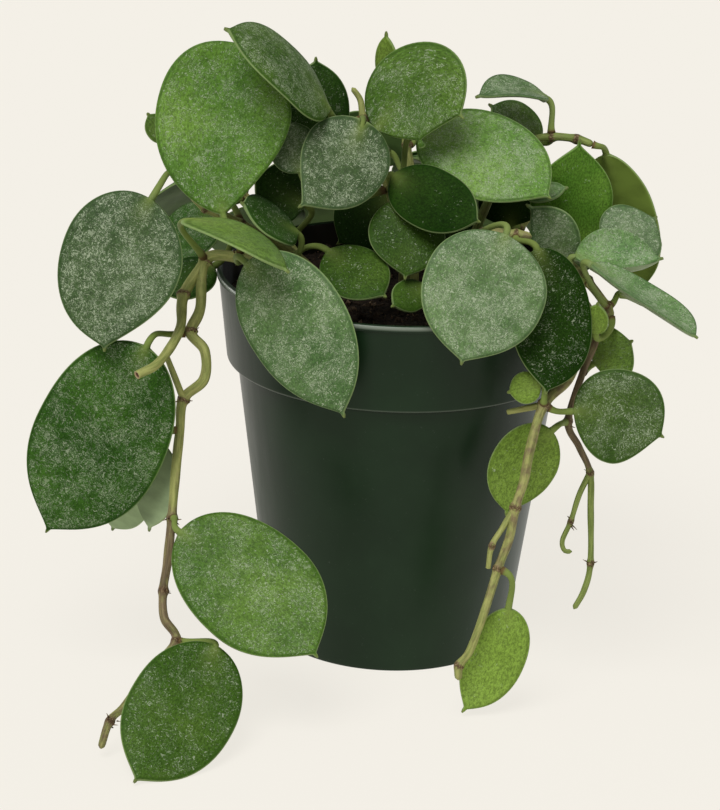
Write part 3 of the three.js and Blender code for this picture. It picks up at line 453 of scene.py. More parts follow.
# ---------------- leaves
def blade_outline(t, leaf):
    """Half width of the blade at t, as a share of its broadest: a rounded base and a short pointed tip."""
    widest = leaf["widest"]
    back = (1 - np.clip((widest - t) / widest, 0, 1) ** 2.2) ** leaf["wedge"]
    u = np.clip((t - widest) / (1 - widest), 0, 1)
    front = (1 - u ** LEAF["shoulder"]) ** leaf["sharp"]
    front = front * (1 - leaf["pull"] * np.exp(-(1 - u) / leaf["flare"]))
    return np.where(t < widest, back, front)


def blade_frame(leaf, t):
    """Middle line at each t, with the directions along, across and up."""
    span = leaf["tip"] - leaf["base"]
    axis = unit(span)
    top = squared(leaf["face"], axis)
    side = np.cross(axis, top)
    bend = top * leaf["arch"] + side * leaf["sway"]
    t = np.atleast_1d(t)[:, None]
    centre = leaf["base"] + span * t + bend * 4 * t * (1 - t)
    along = unit(span + bend * 4 * (1 - 2 * t))
    across = unit(side - (along @ side)[:, None] * along)
    return centre, along, across, np.cross(across, along)


def blade_waves(leaf, t, v, share, random):
    """Lift of the blade's surface: a rippled margin, a slow roll and edges that droop."""
    size = leaf["width"] / 50
    sign = np.where(v < 0, -1.0, 1.0)
    start = random.uniform(0, 2 * np.pi, 3)
    ripple = np.sin(2 * np.pi * 1.15 * t + start[0] + sign * start[1])
    roll = np.sin(2 * np.pi * (0.8 * t + 0.45 * v) + start[2])
    wave = LEAF["wave"] * size * share ** 2 * ripple + LEAF["roll"] * size * roll
    return wave * smooth(0.02, 0.3, t) * (1 - 0.6 * smooth(0.8, 1, t)) - LEAF["droop"] * size * share ** 5


def blade_rings(leaf, theta, random):
    """Rings round the blade from its base to its tip, with the values that its material reads."""
    s = (np.arange(LEAF["steps"]) + 0.35) / LEAF["steps"]
    t = 0.5 - 0.5 * np.cos(np.pi * s ** 0.96)
    centre, along, across, up = blade_frame(leaf, t)
    length = np.linalg.norm(leaf["tip"] - leaf["base"])
    body_end = 1 - min(0.05, LEAF["point"] / length)
    outline = leaf["width"] / 2 * blade_outline(np.minimum(t / body_end, 1), leaf)
    point = LEAF["edge"] + 0.4 * (1 - smooth(body_end, 1, t))
    half = np.maximum(outline, np.where(t < 0.3, LEAF["petiole"], point))[:, None]
    v, top = np.cos(theta), np.sin(theta)
    share, t = np.abs(v), t[:, None]
    curl = math.radians(leaf["curl"])
    out = np.sin(curl * share) / curl if curl else share
    rise = (1 - np.cos(curl * share)) / curl if curl else 0 * share
    x = np.where(v < 0, -1.0, 1.0) * half * out
    y = t * length
    lift = half * rise + blade_waves(leaf, t, v, share, random)
    back = -leaf["lobe"] * share ** 2 * (1 - t) ** 3
    rib = LEAF["rib"] * np.clip(1 - t / 0.35, 0, 1) ** 1.5 * bell(x, 2.2)
    rib = rib + LEAF["vein"] * bell(x, 1.3) * (1 - t)
    groove = LEAF["groove"] * bell(x, 1.0) * smooth(0, 0.1, t) * (1 - t)
    crown = LEAF["rim"] + (1 - LEAF["rim"]) * np.sqrt(1 - share * share)
    body = LEAF["thickness"] / 2 * crown * np.minimum(1, 0.35 + half / 3)
    rounding = np.sqrt(np.clip(np.abs(top) / 0.3, 0, 1)) * np.sign(top)
    upper = body + 0.5 * rib * (t < 0.12) - groove * (t >= 0.02)
    height = lift + np.where(top > 0, upper, body + rib) * rounding
    points = centre[:, None] + across[:, None] * x[..., None] + up[:, None] * height[..., None]
    points = points + along[:, None] * back[..., None]
    stalk = 0.8 * np.exp(-y / 5) * bell(x, 2 + 0.3 * y) - bell(length - y, 1.6) * (t > 0.5)
    seed = random.uniform(0, 900)
    return points, joined(x + seed, y, seed), joined(top > 0, half * (1 - out), stalk)


def petiole_rings(leaf, start, direction, theta, count=16):
    """Rings along the leaf's stalk, from the stem to the blade's base."""
    base = leaf["base"]
    _, along, across, _ = (part[0] for part in blade_frame(leaf, 0.0))
    reach = np.linalg.norm(base - start) * LEAF["reach"]
    p = [start, start + direction * reach, base - along * reach, base]
    u = (np.arange(count) / count)[:, None]
    centre = (1 - u) ** 3 * p[0] + 3 * (1 - u) ** 2 * u * p[1] + 3 * (1 - u) * u ** 2 * p[2] + u ** 3 * p[3]
    tangent = unit((1 - u) ** 2 * (p[1] - p[0]) + 2 * (1 - u) * u * (p[2] - p[1]) + u ** 2 * (p[3] - p[2]))
    side = carried(across, [along, *tangent[::-1]])[:0:-1]
    number = np.arange(count)
    waist = LEAF["waist"] * np.sin(np.pi * np.minimum(1, number / (0.9 * count)))
    radius = LEAF["petiole"] * (1 + LEAF["foot"] * np.exp(-number / 1.5) - waist)
    return centre[:, None] + radius[:, None, None] * ring(theta, side, np.cross(side, tangent))


def leaf_body(leaf, start, direction, random, material=0):
    """One skin round petiole and blade."""
    theta = np.pi - angles(LEAF["sides"])
    rings, place, skin = blade_rings(leaf, theta, random)
    stalk = petiole_rings(leaf, start, direction, theta)
    count, seed = len(stalk), place[0, 0, 2]
    back = np.linspace(-20, -1, count)[:, None]
    foot = np.exp(-np.arange(count) / 1.4)[:, None]
    rings = np.concatenate([stalk, rings])
    place = np.concatenate([joined(1.7 * np.cos(theta) + seed, back, seed), place])
    skin = np.concatenate([joined(0 * theta, 9, 1 + foot), skin])
    finish = 0 * rings + [leaf["fleck"], leaf["haze"], leaf["tone"]]
    return loft(rings, start, leaf["tip"], place, skin, finish, material)


# ---------------- stems
def stem_path(stem):
    """The stem's points, after the three that take it up through the soil."""
    x, y = stem["foot"]
    feet = [(x, y, SOIL["top"] + z) for z in (-STEM["depth"], -STEM["neck"], STEM["collar"])]
    return [*feet, *stem["points"]]


def stem_radius(stem, share):
    return stem["r"] * (1 - (1 - stem.get("taper", STEM["taper"])) * share)


def petiole_start(stem, number, toward):
    """Where a petiole leaves a stem, sunk a little into its skin, and the way it goes."""
    path, points = stem_path(stem), stem["points"]
    dense = curve_points(path)
    along = np.cumsum(np.linalg.norm(np.diff(dense, axis=0, prepend=dense[:1]), axis=1))
    index = min((number + len(path) - len(points)) * SPAN, len(dense) - 1)
    tangent = tangents(dense)[index]
    here = np.array(points[number][:3], float)
    if number == len(points) - 1:
        return here - tangent * LEAF["sunk"], tangent
    direction = squared(unit(toward), tangent)
    swell = 1 + STEM["swell"] * (len(points[number]) > 3)
    radius = stem_radius(stem, along[index] / along[-1]) * swell
    return here + direction * (radius - LEAF["sunk"]), direction


def cut_end(rim, centre, ahead):
    """A cut stem's end: its edge rounded and its pith sunk."""
    return [centre + (rim - centre) * share + ahead * depth
            for share, depth in ((0.93, 0.12), (0.75, 0.05), (0.45, -0.35))]


def tube_body(points, stem, random, material=0, cut=False):
    """A stem's skin, swollen at its nodes, with a slightly uneven surface and a rounded or cut end."""
    places, s, nodes = even_path(points)
    tangent = tangents(places)
    near = np.max([bell(s - node, STEM["reach"]) for node in nodes] + [0 * s], axis=0)
    phase = random.uniform(0, 2 * np.pi, 4)
    uneven = 0.03 * np.sin(s / 5.1 + phase[0]) + 0.025 * np.sin(s / 2.3 + phase[1])
    share = s / s[-1]
    thin = stem_radius(stem, share)
    radius = thin * (1 + STEM["swell"] * near + uneven)
    if not cut:
        end = (1 - (s[-1] - s) / (1.2 * thin)).clip(0)
        radius = radius * np.sqrt(np.clip(1 - end ** 2, 0.06, 1))
    woody = np.interp(share, *np.transpose(stem.get("woody", ((0, 0), (1, 0)))))
    theta = angles(STEM["sides"])
    side = carried(square_to(tangent[0]), tangent)
    s, near, face = s[:, None], near[:, None], 0 * s
    lump = 1 + near * 0.1 * np.sin(3 * theta + phase[2]) + 0.02 * np.sin(2 * theta + s / 6 + phase[3])
    around = ring(theta, side, np.cross(tangent, side))
    rings = places[:, None] + (radius[:, None] * lump)[..., None] * around
    if cut:
        rings = np.concatenate([rings, cut_end(rings[-1], places[-1], tangent[-1])])
        s, near = np.vstack([s, [s[-1]] * 3]), np.vstack([near, [[0]] * 3])
        face, woody = np.append(face, [0.35, 0.5, 1]), np.append(woody, [0, 0, 0])
    place = joined(stem["r"] * theta, s, random.uniform(0, 900))
    skin = joined(near + 0 * theta, face[:, None], woody[:, None])
    return loft(rings, rings[0].mean(0), rings[-1].mean(0), place, skin, 0 * rings, material)


def rootlet_body(origin, direction, length, radius, random, material):
    """A short dry root at a node, bent and tapered."""
    round_it = ring(angles(6), square_to(direction), np.cross(direction, square_to(direction)))
    bend = unit(random.normal(size=3)) * length * 0.3
    rings = np.array([origin + direction * length * u + bend * u * u + radius * (1 - 0.8 * u) * round_it
                      for u in (0, 0.3, 0.6, 0.9)])
    skin, finish = 0 * rings + (1, 0, 1), 0 * rings + (0, 1, 1)
    return loft(rings, origin, origin + direction * length + bend, rings, skin, finish, material)


def rootlets(points, r, random, material):
    """Tufts of short dry roots round the nodes of a stem."""
    places, s, nodes = even_path(points)
    tangent = tangents(places)
    bodies = []
    for node in nodes:
        i = int(np.argmin(np.abs(s - node)))
        side = square_to(tangent[i])
        across = np.cross(tangent[i], side)
        for _ in range(random.integers(2, 6)):
            a = random.uniform(0, 2 * np.pi)
            out = unit(math.cos(a) * side + math.sin(a) * across + random.uniform(-0.5, 0.5) * tangent[i])
            origin = places[i] + out * r + tangent[i] * random.uniform(-1.2, 1.2)
            bodies.append(rootlet_body(origin, out, random.uniform(0.9, 2.6), 0.36, random, material))
    return bodies


def stem_bodies(stem, random, material=0):
    """The stem and its branches, each with its rootlets."""
    path = stem_path(stem)
    lines = [(path, stem, False)]
    for branch in stem.get("branches", ()):
        line = [stem["points"][branch["at"]][:3], *branch["points"]]
        lines.append((line, branch, branch.get("cut", True)))
    bodies = []
    for line, part, cut in lines:
        bodies.append(tube_body(line, part, random, material, cut))
        if part.get("rootlets"):
            bodies += rootlets(line, part["r"], random, material)
    return bodies


# ---------------- materials
def part_of(colour, share):
    """The colour made darker."""
    return tuple(share * c for c in colour)


class Look:
    """A material under construction. Each call adds a node and gives its output back."""

    def __init__(self, name, roughness, specular):
        self.material = bpy.data.materials.new(name)
        self.material.use_nodes = True
        self.tree = self.material.node_tree
        self.shader = self.tree.nodes["Principled BSDF"]
        self.set(Roughness=roughness, Specular_IOR_Level=specular)

    def put(self, socket, value):
        """Links an output to the socket or sets its value. A colour gets the fourth number it needs."""
        if isinstance(value, bpy.types.NodeSocket):
            self.tree.links.new(value, socket)
        elif socket.type == "RGBA":
            socket.default_value = (*value, 1)
        else:
            socket.default_value = value

    def set(self, **values):
        """Sets the shader's inputs, named with _ for a space."""
        for name, value in values.items():
            self.put(self.shader.inputs[name.replace("_", " ")], value)

    def node(self, kind, inputs, output=0, **settings):
        made = self.tree.nodes.new(kind)
        for key, value in settings.items():
            setattr(made, key, value)
        for key, value in inputs.items():
            self.put(made.inputs[key], value)
        return made.outputs[output]

    def math(self, kind, a, b=0.0, clamp=False):
        return self.node("ShaderNodeMath", {0: a, 1: b}, operation=kind, use_clamp=clamp)

    def plus(self, a, b):
        return self.math("ADD", a, b)

    def times(self, a, b):
        return self.math("MULTIPLY", a, b)

    def most(self, a, b):
        return self.math("MAXIMUM", a, b)

    def value(self, name):
        return self.node("ShaderNodeAttribute", {}, "Vector", attribute_name=name)

    def parts(self, vector):
        return self.node("ShaderNodeSeparateXYZ", {0: vector}).node.outputs[:]

    def grey(self, value):
        return self.node("ShaderNodeCombineXYZ", {0: value, 1: value, 2: value})

    def stretch(self, vector, scale):
        return self.node("ShaderNodeVectorMath", {0: vector, 1: scale}, operation="MULTIPLY")

    def noise(self, vector, scale, detail=2.0, rough=0.5, output=0):
        inputs = {"Vector": vector, "Scale": scale, "Detail": detail, "Roughness": rough}
        return self.node("ShaderNodeTexNoise", inputs, output)

    def step(self, value, low, high, to_low=0.0, to_high=1.0):
        inputs = {"Value": value, "From Min": low, "From Max": high, "To Min": to_low, "To Max": to_high}
        return self.node("ShaderNodeMapRange", inputs, interpolation_type="SMOOTHSTEP")

    def mix(self, factor, a, b, blend="MIX"):
        inputs = {0: factor, 6: a, 7: b}
        return self.node("ShaderNodeMix", inputs, 2, data_type="RGBA", blend_type=blend)

    def layers(self, colour, *layers):
        """The colour with further ones over it, each by its own share."""
        for share, paint in layers:
            colour = self.mix(share, colour, paint)
        return colour

    def marks(self, vector, scale, size, share):
        """One crisp mark in a share of the cells of a scattered pattern, some fainter than others."""
        inputs = {"Vector": self.stretch(vector, (*scale, 1)), "Scale": 1.0}
        distance = self.node("ShaderNodeTexVoronoi", inputs, "Distance", voronoi_dimensions="2D")
        chance, other, _ = self.parts(distance.node.outputs["Color"])
        mark = self.step(distance, size, 0.7 * size)
        there = self.step(self.math("SUBTRACT", share, chance), 0.0, 0.04)
        return self.times(self.times(mark, there), self.step(other, 0.0, 1.0, 0.25, 1.0))

    def bump(self, height, strength, distance):
        inputs = {"Height": height, "Strength": strength, "Distance": distance}
        self.set(Normal=self.node("ShaderNodeBump", inputs))
        return self.material


# The colours that lie over a leaf's greens: its flecks, haze, margin, stalk, stalk's foot and point.
FLECK, FILM, MARGIN = (0.38, 0.44, 0.30), (0.30, 0.36, 0.23), (0.26, 0.35, 0.14)
STALK, FOOT, POINT = (0.19, 0.25, 0.06), (0.13, 0.085, 0.035), (0.15, 0.18, 0.05)
# A stem's bark, specks, dark and pale callus at its nodes, and the pith and heart of its cut face.
BARK, SPECK = (0.21, 0.155, 0.085), (0.075, 0.045, 0.02)
CALLUS = ((0.075, 0.038, 0.018), (0.26, 0.19, 0.10))
PITH, HEART = (0.36, 0.27, 0.15), (0.09, 0.035, 0.02)
# The pot's two greens, its grit, the painted shade under its ledge, its dust, and the painted highlight on
# its ledge and lip.
PLASTIC = ((0.005, 0.018, 0.0055), (0.009, 0.027, 0.0095))
GRIT, SHADE = (0.06, 0.075, 0.06), (0.001, 0.003, 0.001)
DUST, PAINTED_HIGHLIGHT = (0.014, 0.010, 0.007), (0.40, 0.45, 0.37)
# The soil's peat and its bark chips, dark and pale.
PEAT, CHIPS = ((0.012, 0.008, 0.006), (0.05, 0.033, 0.022)), ((0.14, 0.08, 0.045), (0.38, 0.27, 0.17))


def leaf_flecks(look, place, share):
    """Silver on a share of the blade: winding threads and dashes, dots, dust and a few pale blots."""
    wander = look.stretch(look.noise(place, 0.42, 3.0, output="Color"), (5.0, 5.0, 0.0))
    winding = look.node("ShaderNodeVectorMath", {0: place, 1: wander}, operation="ADD")
    silver = look.marks(winding, (0.75, 1.9), 0.34, share)
    ridge = look.math("ABSOLUTE", look.math("SUBTRACT", look.noise(place, 1.0, 1.0), 0.5))
    thread = look.times(look.step(ridge, 0.034, 0.014), look.step(look.noise(winding, 0.8), 0.48, 0.54))
    silver = look.most(silver, look.times(thread, look.step(share, 0.1, 0.6)))
    silver = look.most(silver, look.marks(winding, (1.25, 1.15), 0.31, share))
    dust = look.marks(place, (2.1, 2.1), 0.36, look.times(share, 1.3))
    silver = look.most(silver, look.times(dust, 0.4))
    blot = look.marks(winding, (0.24, 0.3), 0.3, look.times(share, 0.2))
    return look.most(silver, look.times(blot, 0.6))


def leaf_look(name, dark, light, under, specular, strength):
    """A waxy blade: two greens above with silver flecks and haze, a plain pale green below."""
    look = Look(name, roughness=0.48, specular=specular)
    place, (top, margin, stalk) = look.value("place"), look.parts(look.value("skin"))
    fleck, haze, tone = look.parts(look.value("finish"))
    drift = look.noise(place, 0.035, 6.0, 0.55)
    green = look.mix(look.step(drift, 0.3, 0.75, 0.15, 0.95), dark, light)
    weave = look.noise(look.stretch(place, (1.3, 0.8, 1.0)), 1.1, 3.0, 0.75)
    green = look.mix(1.0, green, look.grey(look.step(weave, 0.3, 0.7, 0.58, 1.42)), "MULTIPLY")
    green = look.mix(1.0, green, look.grey(tone), "MULTIPLY")
    crowd = look.noise(place, 0.13, 6.0, 0.7)
    share = look.times(look.step(crowd, 0.34, 0.66, 0.12, 1.0), fleck)
    silver = leaf_flecks(look, place, look.times(share, look.step(margin, 0.5, 2.6)))
    line = look.times(look.step(margin, 0.4, 0.8), look.step(margin, 2.0, 1.1, 0.0, 0.45))
    upper = look.layers(
        green,
        (look.times(haze, look.step(crowd, 0.35, 0.7, 0.2, 0.6)), FILM),
        (line, part_of(dark, 0.7)),
        (look.times(silver, strength), FLECK),
    )
    net = look.step(look.noise(look.stretch(place, (0.5, 1.0, 1.0)), 0.16, 3.0, 0.55), 0.35, 0.7)
    lower = look.mix(1.0, look.mix(net, under, part_of(under, 0.78)), look.grey(tone), "MULTIPLY")
    look.set(Base_Color=look.layers(
        look.mix(top, lower, upper),
        (look.step(margin, 0.5, 0.12, 0.0, 0.62), MARGIN),
        (look.math("MULTIPLY", stalk, 0.85, clamp=True), STALK),
        (look.step(stalk, 1.25, 1.8), FOOT),
        (look.step(stalk, -0.25, -0.8, 0.0, 0.7), POINT),
    ))
    pores = look.noise(place, 2.2, 2.0, 0.6)
    height = look.plus(look.times(pores, 0.35), look.times(drift, 2.0))
    return look.bump(height, strength=0.25, distance=0.0004)


def stem_look(name, young, old):
    """A stem: green or woody brown as its skin says, speckled, browner at its nodes, with a tan cut face."""
    look = Look(name, roughness=0.6, specular=0.2)
    place, (node, cut, woody) = look.value("place"), look.parts(look.value("skin"))
    streak = look.noise(look.stretch(place, (0.9, 0.12, 1.0)), 0.9, 3.0, 0.6)
    patchy = look.plus(woody, look.step(look.noise(place, 0.25, 3.0), 0.3, 0.7, -0.25, 0.25))
    grain = look.noise(place, 1.1, 3.0)
    rough_node = look.plus(node, look.step(grain, 0.3, 0.7, -0.3, 0.3))
    look.set(Base_Color=look.layers(
        look.mix(look.step(streak, 0.35, 0.65), young, old),
        (look.step(patchy, 0.1, 0.9), look.mix(look.step(streak, 0.35, 0.65), BARK, part_of(BARK, 0.55))),
        (look.step(look.noise(place, 1.7, 2.0, 0.6), 0.64, 0.72, 0.0, 0.6), SPECK),
        (look.step(rough_node, 0.35, 0.85, 0.0, 0.95), look.mix(look.step(grain, 0.48, 0.66), *CALLUS)),
        (look.step(cut, 0.2, 0.34), PITH),
        (look.step(cut, 0.55, 0.95), HEART),
    ))
    height = look.plus(streak, look.times(look.noise(place, 1.3, 4.0, 0.7), node))
    return look.bump(height, strength=0.6, distance=0.0006)


def pot_look():
    """Satin moulded plastic: deep green, faintly mottled and dusty, with fine upright drag lines, painted
    shade under the ledge and a painted highlight on the ledge and lip.
    """
    look = Look("pot_plastic", roughness=0.34, specular=0.2)
    at = look.node("ShaderNodeTexCoord", {}, "Object")
    streak = look.noise(look.stretch(at, (260.0, 260.0, 6.0)), 1.0, 3.0, 0.6)
    cloud = look.noise(at, 18.0, 4.0, 0.6)
    inside, highlight, shade = look.parts(look.value("skin"))
    look.set(Base_Color=look.layers(
        look.mix(look.step(cloud, 0.3, 0.75), *PLASTIC),
        (look.step(look.noise(at, 900.0), 0.68, 0.8, 0.0, 0.35), GRIT),
        # Painted shade on the body just under the ledge.
        (look.times(shade, 0.6), SHADE),
        (look.times(inside, look.step(cloud, 0.25, 0.55, 0.45, 0.95)), DUST),
        # A painted highlight on the ledge and lip.
        (look.times(highlight, 0.9), PAINTED_HIGHLIGHT),
    ))
    uneven = look.plus(look.times(cloud, 0.5), look.times(streak, 0.5))
    look.set(Roughness=look.step(uneven, 0.3, 0.7, 0.31, 0.43))
    height = look.plus(look.times(streak, 0.6), look.noise(at, 1500.0))
    return look.bump(height, strength=0.06, distance=0.0003)


def soil_look():
    """Dark peat with crumbs of paler bark."""
    look = Look("potting_mix", roughness=0.9, specular=0.2)
    bit, _, _ = look.parts(look.value("skin"))
    fine = look.noise(look.node("ShaderNodeTexCoord", {}, "Object"), 520.0, 5.0, 0.7)
    peat = look.mix(look.step(fine, 0.35, 0.7), *PEAT)
    look.set(Base_Color=look.mix(bit, peat, look.mix(look.step(fine, 0.35, 0.65), *CHIPS)))
    return look.bump(fine, strength=0.8, distance=0.0012)


def floor_look():
    """Pale paper lit mostly from below, like a light table, so that shadows on it stay faint."""
    look = Look("floor_paper", roughness=0.9, specular=0.0)
    look.set(Base_Color=part_of(BACKDROP, 0.12), Emission_Color=part_of(BACKDROP, 0.88))
    look.set(Emission_Strength=1.0)
    return look.material


# Each look's dark, light and lower green, its shine, how strongly its flecks cover the green, and the
# usual shares of flecks and haze.
LOOKS = dict(
    # The deep look's lower green is kept dark as painted shade on the shaded undersides of the rear leaves.
    deep=((0.012, 0.050, 0.003), (0.040, 0.108, 0.011), (0.07, 0.12, 0.035), 0.04, 0.6, 0.62, 0.06),
    mid=((0.036, 0.100, 0.008), (0.108, 0.200, 0.028), (0.10, 0.16, 0.05), 0.06, 0.66, 0.5, 0.05),
    silver=((0.040, 0.100, 0.022), (0.100, 0.180, 0.055), (0.15, 0.195, 0.105), 0.1, 0.85, 0.75, 0.4),
    young=((0.135, 0.225, 0.026), (0.195, 0.305, 0.048), (0.20, 0.30, 0.06), 0.07, 0.6, 0.06, 0.05),
    under=((0.060, 0.120, 0.016), (0.115, 0.187, 0.028), (0.17, 0.25, 0.045), 0.07, 0.6, 0.3, 0.1),
)
leaf_looks = {key: leaf_look("leaf_" + key, *row[:5]) for key, row in LOOKS.items()}
stem_looks = dict(
    stem=stem_look("stem_green", (0.36, 0.37, 0.12), (0.22, 0.25, 0.07)),
    woody=stem_look("stem_woody", (0.24, 0.30, 0.08), (0.15, 0.20, 0.045)),
)


# ---------------- leaves and stems in place
def grow_stems():
    for number, (name, stem) in enumerate(STEMS.items()):
        random = np.random.default_rng(SEEDS["stems"] + number)
        make_piece(name, stem_bodies(stem, random), [stem_looks[stem["colour"]]])


def grow_leaves():
    for number, (name, look, stem, at, toward, own) in enumerate(LEAVES):
        random = np.random.default_rng(SEEDS["leaves"] + number)
        fleck, haze = LOOKS[look][5:]
        leaf = dict(fleck=fleck, haze=haze, tone=1.0) | own
        body = leaf_body(leaf, *petiole_start(STEMS[stem], at, toward), random)
        make_piece("leaf_" + name, [body], [leaf_looks[look]])


def grow_sprays():
    for number, (name, spray) in enumerate(SPRAYS.items()):
        random = np.random.default_rng(SEEDS["sprays"] + number)
        bodies = stem_bodies(spray, random, 1)
        for at, own in spray["leaves"]:
            toward = own["base"] - spray["points"][at][:3]
            chance = dict(fleck=random.uniform(0.3, 0.8), haze=random.uniform(0.02, 0.25),
                          tone=random.uniform(0.9, 1.4))
            bodies.append(leaf_body(chance | own, *petiole_start(spray, at, toward), random))
        make_piece(name, bodies, [leaf_looks["deep"], stem_looks["stem"]])


# ---------------- pot and soil
def pot_corners():
    """The wall's section from the base's middle out, up, over the lip and back down inside."""
    wall, lip, inner = POT["wall"], POT["height"] - POT["lip_height"], POT["base"] - POT["wall"]
    return [
        (0.01, 0, 0), (POT["base"], 0, 0.8), (POT["body_top"], LEDGE - 0.6, 0.5),
        (POT["band_bottom"], LEDGE, 0.9), (BAND_TOP, lip, 0.5), (POT["rim"], lip + 0.3, 0.35),
        (POT["rim"], POT["height"], 0.9), (BAND_TOP - wall, POT["height"], 0.5),
        (POT["band_bottom"] - wall, LEDGE + wall, 0.8), (POT["body_top"] - wall, LEDGE, 0.8),
        (inner, POT["floor"], 1.0), (0.01, POT["floor"], 0),
    ]


def rounded(corners, arc=5):
    """The corners (x, y, radius) joined up, each turned into an arc of about that radius."""
    points = []
    for i, (x, y, radius) in enumerate(corners):
        here = np.array([x, y], float)
        if not radius:
            points.append(here)
            continue
        before, after = (np.array(corners[i + k][:2], float) - here for k in (-1, 1))
        cut = min(radius, 0.45 * np.linalg.norm(before), 0.45 * np.linalg.norm(after))
        a, b = here + unit(before) * cut, here + unit(after) * cut
        for u in np.linspace(0, 1, arc):
            points.append((1 - u) ** 2 * a + 2 * u * (1 - u) * here + u * u * b)
    return points


def fine_profile(points, longest=1.5):
    """The same line with more points, none further apart than the longest step."""
    out = [points[0]]
    for a, b in zip(points[:-1], points[1:]):
        count = max(1, int(np.ceil(np.linalg.norm(b - a) / longest)))
        out += [a + (b - a) * k / count for k in range(1, count + 1)]
    return np.array(out)


def build_pot():
    r, z = fine_profile(rounded(pot_corners())).T[:, :, None]
    theta = angles(POT["segments"])
    rings = joined(r * np.cos(theta), r * np.sin(theta), z)
    body = loft(rings, (0, 0, 0), (0, 0, POT["floor"]), 0 * rings, 0 * rings, 0 * rings)
    pot = make_piece("pot", [body], [pot_look()])
    cut_drain_holes(pot)
    mark_dust_and_painted_light(pot.data)
    return pot


def cut_drain_holes(pot):
    """Cuts the holes through the pot's floor, evenly round a circle."""
    for k in range(POT["drain_count"]):
        angle = (k + 0.5) * 2 * np.pi / POT["drain_count"]
        x, y = POT["drain_circle"] * math.cos(angle), POT["drain_circle"] * math.sin(angle)
        radius, depth, place = POT["drain_radius"] * MM, 4 * POT["floor"] * MM, (x * MM, y * MM, 0)
        bpy.ops.mesh.primitive_cylinder_add(vertices=40, radius=radius, depth=depth, location=place)
        cutter = bpy.context.object
        change = pot.modifiers.new("hole", "BOOLEAN")
        change.operation, change.object, change.solver = "DIFFERENCE", cutter, "EXACT"
        bpy.context.view_layer.objects.active = pot
        bpy.ops.object.modifier_apply(modifier=change.name)
        bpy.data.objects.remove(cutter, do_unlink=True)


def mark_dust_and_painted_light(mesh):
    """Gives the cut pot's points their shares of dust inside, of a painted highlight on the ledge and lip,
    and of painted shade under the ledge.
    """
    points = np.empty(3 * len(mesh.vertices))
    mesh.vertices.foreach_get("co", points)
    x, y, z = points.reshape(-1, 3).T / MM
    r = np.hypot(x, y)
    wall = np.array([inner_radius(height) for height in z])
    inside = (z > POT["floor"] - 0.3) & (z < POT["height"] - 0.3) & (r < wall + 0.4)
    # The ledge and lip are painted with a highlight.
    ledge = (np.hypot(r - POT["band_bottom"], z - LEDGE) < 0.6) & ~inside
    lip = (z > POT["height"] - 1.2) & (r > POT["rim"] - 0.35)
    # Painted shade just under the ledge.
    shade = (z < LEDGE - 0.2) & (z > LEDGE - 2.0) & ~inside
    values = joined(inside, EDGE_HIGHLIGHT["ledge"] * ledge + EDGE_HIGHLIGHT["lip"] * lip, shade)
    mesh.attributes["skin"].data.foreach_set("vector", values.ravel())


def inner_radius(z):
    """The radius of the pot's inner face at height z."""
    low, high, rise, length = POT["base"], POT["body_top"], z, LEDGE
    if z >= LEDGE:
        low, high, rise, length = POT["band_bottom"], BAND_TOP, z - LEDGE, POT["band_height"]
    return low + (high - low) * rise / length - POT["wall"]


def ground(x, y, phases):
    """Rolling ground: a few crossed waves, from broad to fine."""
    height = 0 * x
    for k, (a, b) in enumerate(phases):
        wave, turn = 2 * np.pi / (SOIL["wave"] / 1.55 ** k), 1.3 * k
        height = height + 0.62 ** k * np.sin(wave * (x * math.cos(turn) + y * math.sin(turn)) + a) \
            * np.sin(wave * (y * math.cos(turn) - x * math.sin(turn)) + b)
    return 0.55 * SOIL["rough"] * height


def crumb(centre, size, random):
    """One bit of bark or peat: a squashed, jittered octahedron."""
    axes = np.linalg.qr(random.normal(size=(3, 3)))[0] * (size * random.uniform(0.35, 1.0, 3))[:, None]
    points = np.vstack([axes, -axes]) * random.uniform(0.75, 1.2, (6, 1)) + centre
    faces = [(0, 1, 2), (1, 3, 2), (3, 4, 2), (4, 0, 2), (1, 0, 5), (3, 1, 5), (4, 3, 5), (0, 4, 5)]
    if np.linalg.det(axes) < 0:
        faces = [tuple(reversed(f)) for f in faces]
    pale = random.uniform(0.35, 1.0) if random.random() < 0.3 else random.uniform(0.0, 0.25)
    return Body(points, faces, 0 * points, 0 * points + (pale, 0, 0), 0 * points, 0)


def build_soil():
    random = np.random.default_rng(SEEDS["soil"])
    phases = random.uniform(0, 2 * np.pi, (SOIL["waves"], 2))
    top, gap, wall = SOIL["top"], SOIL["clearance"], POT["wall"]
    theta = angles(SOIL["segments"])
    circle = joined(np.cos(theta), np.sin(theta))
    edge, base = inner_radius(top) - gap, POT["floor"] + gap
    side = [(inner_radius(base), base), (inner_radius(LEDGE - wall), LEDGE + wall),
            (inner_radius(LEDGE + wall), LEDGE + 2 * wall), (edge + gap, top - 3)]
    rings = [joined(*(circle * (r - gap)).T, z) for r, z in side]
    for k in range(SOIL["rings"]):
        share = 1 - k / SOIL["rings"]
        x, y = (edge * share * circle).T
        height = top + ground(x, y, phases) * min(1, (1 - share) * 14)
        rings.append(joined(x, y, height - SOIL["edge_drop"] * (share > 0.97)))
    rings = np.array(rings)
    bodies = [loft(rings, (0, 0, base), rings[-1].mean(0), 0 * rings, 0 * rings, 0 * rings)]
    for _ in range(SOIL["crumbs"]):
        r, a = (edge - 1.5) * math.sqrt(random.random()), random.uniform(0, 2 * np.pi)
        x, y = r * math.cos(a), r * math.sin(a)
        size = SOIL["smallest"] + SOIL["spread"] * random.random() ** 2.5
        bodies.append(crumb(np.array([x, y, top + ground(x, y, phases) + 0.2 * size]), size, random))
    make_piece("soil", bodies, [soil_look()], smooth_shade=False)


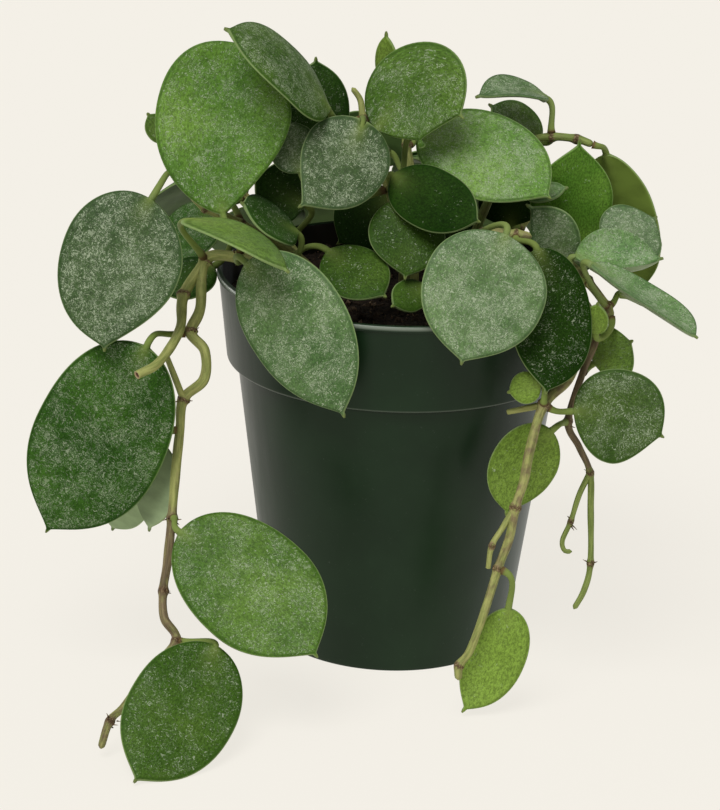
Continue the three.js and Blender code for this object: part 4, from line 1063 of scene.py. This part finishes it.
# ---------------- floor, light and camera, in metres and degrees, the lens in millimetres
CAMERA = dict(place=(0.0, -1.2497, 0.5443), down=19.611, turn=-0.685, roll=1.734, lens=140,
              sensor=36, near=0.05, far=30)
BACKDROP = (0.905, 0.871, 0.799)
LIGHT = dict(towards=(-0.2, -0.5, 0.85), strength=2.4, spread=35, sky=0.35)
FLOOR_WIDTH = 16
# The sheen's strips: place, power, width, height and colour. They face AIM, inside the pot.
AIM = (0, 0, 0.1)
STRIPS = dict(
    left_strip=((-1.0, 0.55, 0.35), 16, dict(size=0.35, size_y=1.0, color=(1.0, 1.0, 0.96))),
    right_strip=((1.0, 0.55, 0.35), 118, dict(size=0.5, size_y=1.0, color=(0.88, 0.96, 1.0))),
)


def set_camera():
    data = bpy.data.cameras.new("camera")
    data.lens, data.sensor_width = CAMERA["lens"], CAMERA["sensor"]
    data.clip_start, data.clip_end = CAMERA["near"], CAMERA["far"]
    camera = bpy.data.objects.new("camera", data)
    bpy.context.scene.collection.objects.link(camera)
    place = Matrix.Translation(CAMERA["place"])
    for angle, axis in ((-CAMERA["turn"], "Z"), (90 - CAMERA["down"], "X"), (CAMERA["roll"], "Z")):
        place = place @ Matrix.Rotation(math.radians(angle), 4, axis)
    camera.matrix_world = place
    bpy.context.scene.camera = camera


def add_light(name, kind, towards, power, **settings):
    """A light of one kind that stands towards a direction and shines the other way."""
    data = bpy.data.lights.new(name, kind)
    data.energy = power
    for key, value in settings.items():
        setattr(data, key, value)
    light = bpy.data.objects.new(name, data)
    light.rotation_euler = Vector(towards).to_track_quat("Z", "Y").to_euler()
    bpy.context.scene.collection.objects.link(light)
    return light


def set_stage():
    """The floor, an even white sky and a far, wide light, so that the floor is evenly lit."""
    bpy.ops.mesh.primitive_plane_add(size=FLOOR_WIDTH)
    floor = bpy.context.object
    floor.name = "floor"
    floor.data.materials.append(floor_look())
    world = bpy.data.worlds.new("studio")
    world.use_nodes = True
    sky = world.node_tree.nodes["Background"].inputs
    sky["Color"].default_value, sky["Strength"].default_value = (1, 1, 1, 1), LIGHT["sky"]
    bpy.context.scene.world = world
    add_light("key", "SUN", LIGHT["towards"], LIGHT["strength"], angle=math.radians(LIGHT["spread"]))
    bpy.context.scene.view_settings.view_transform = "Standard"


def set_sheen(pot):
    """Soft strips that are only seen in the glossy surface of the pot."""
    lit = bpy.data.collections.new("sheen")
    lit.objects.link(pot)
    for name, (place, power, shape) in STRIPS.items():
        light = add_light(name, "AREA", Vector(place) - Vector(AIM), power, shape="RECTANGLE", **shape)
        light.location = place
        light.visible_diffuse = False
        light.light_linking.receiver_collection = lit


set_camera()
set_stage()
set_sheen(build_pot())
build_soil()
grow_stems()
grow_leaves()
grow_sprays()
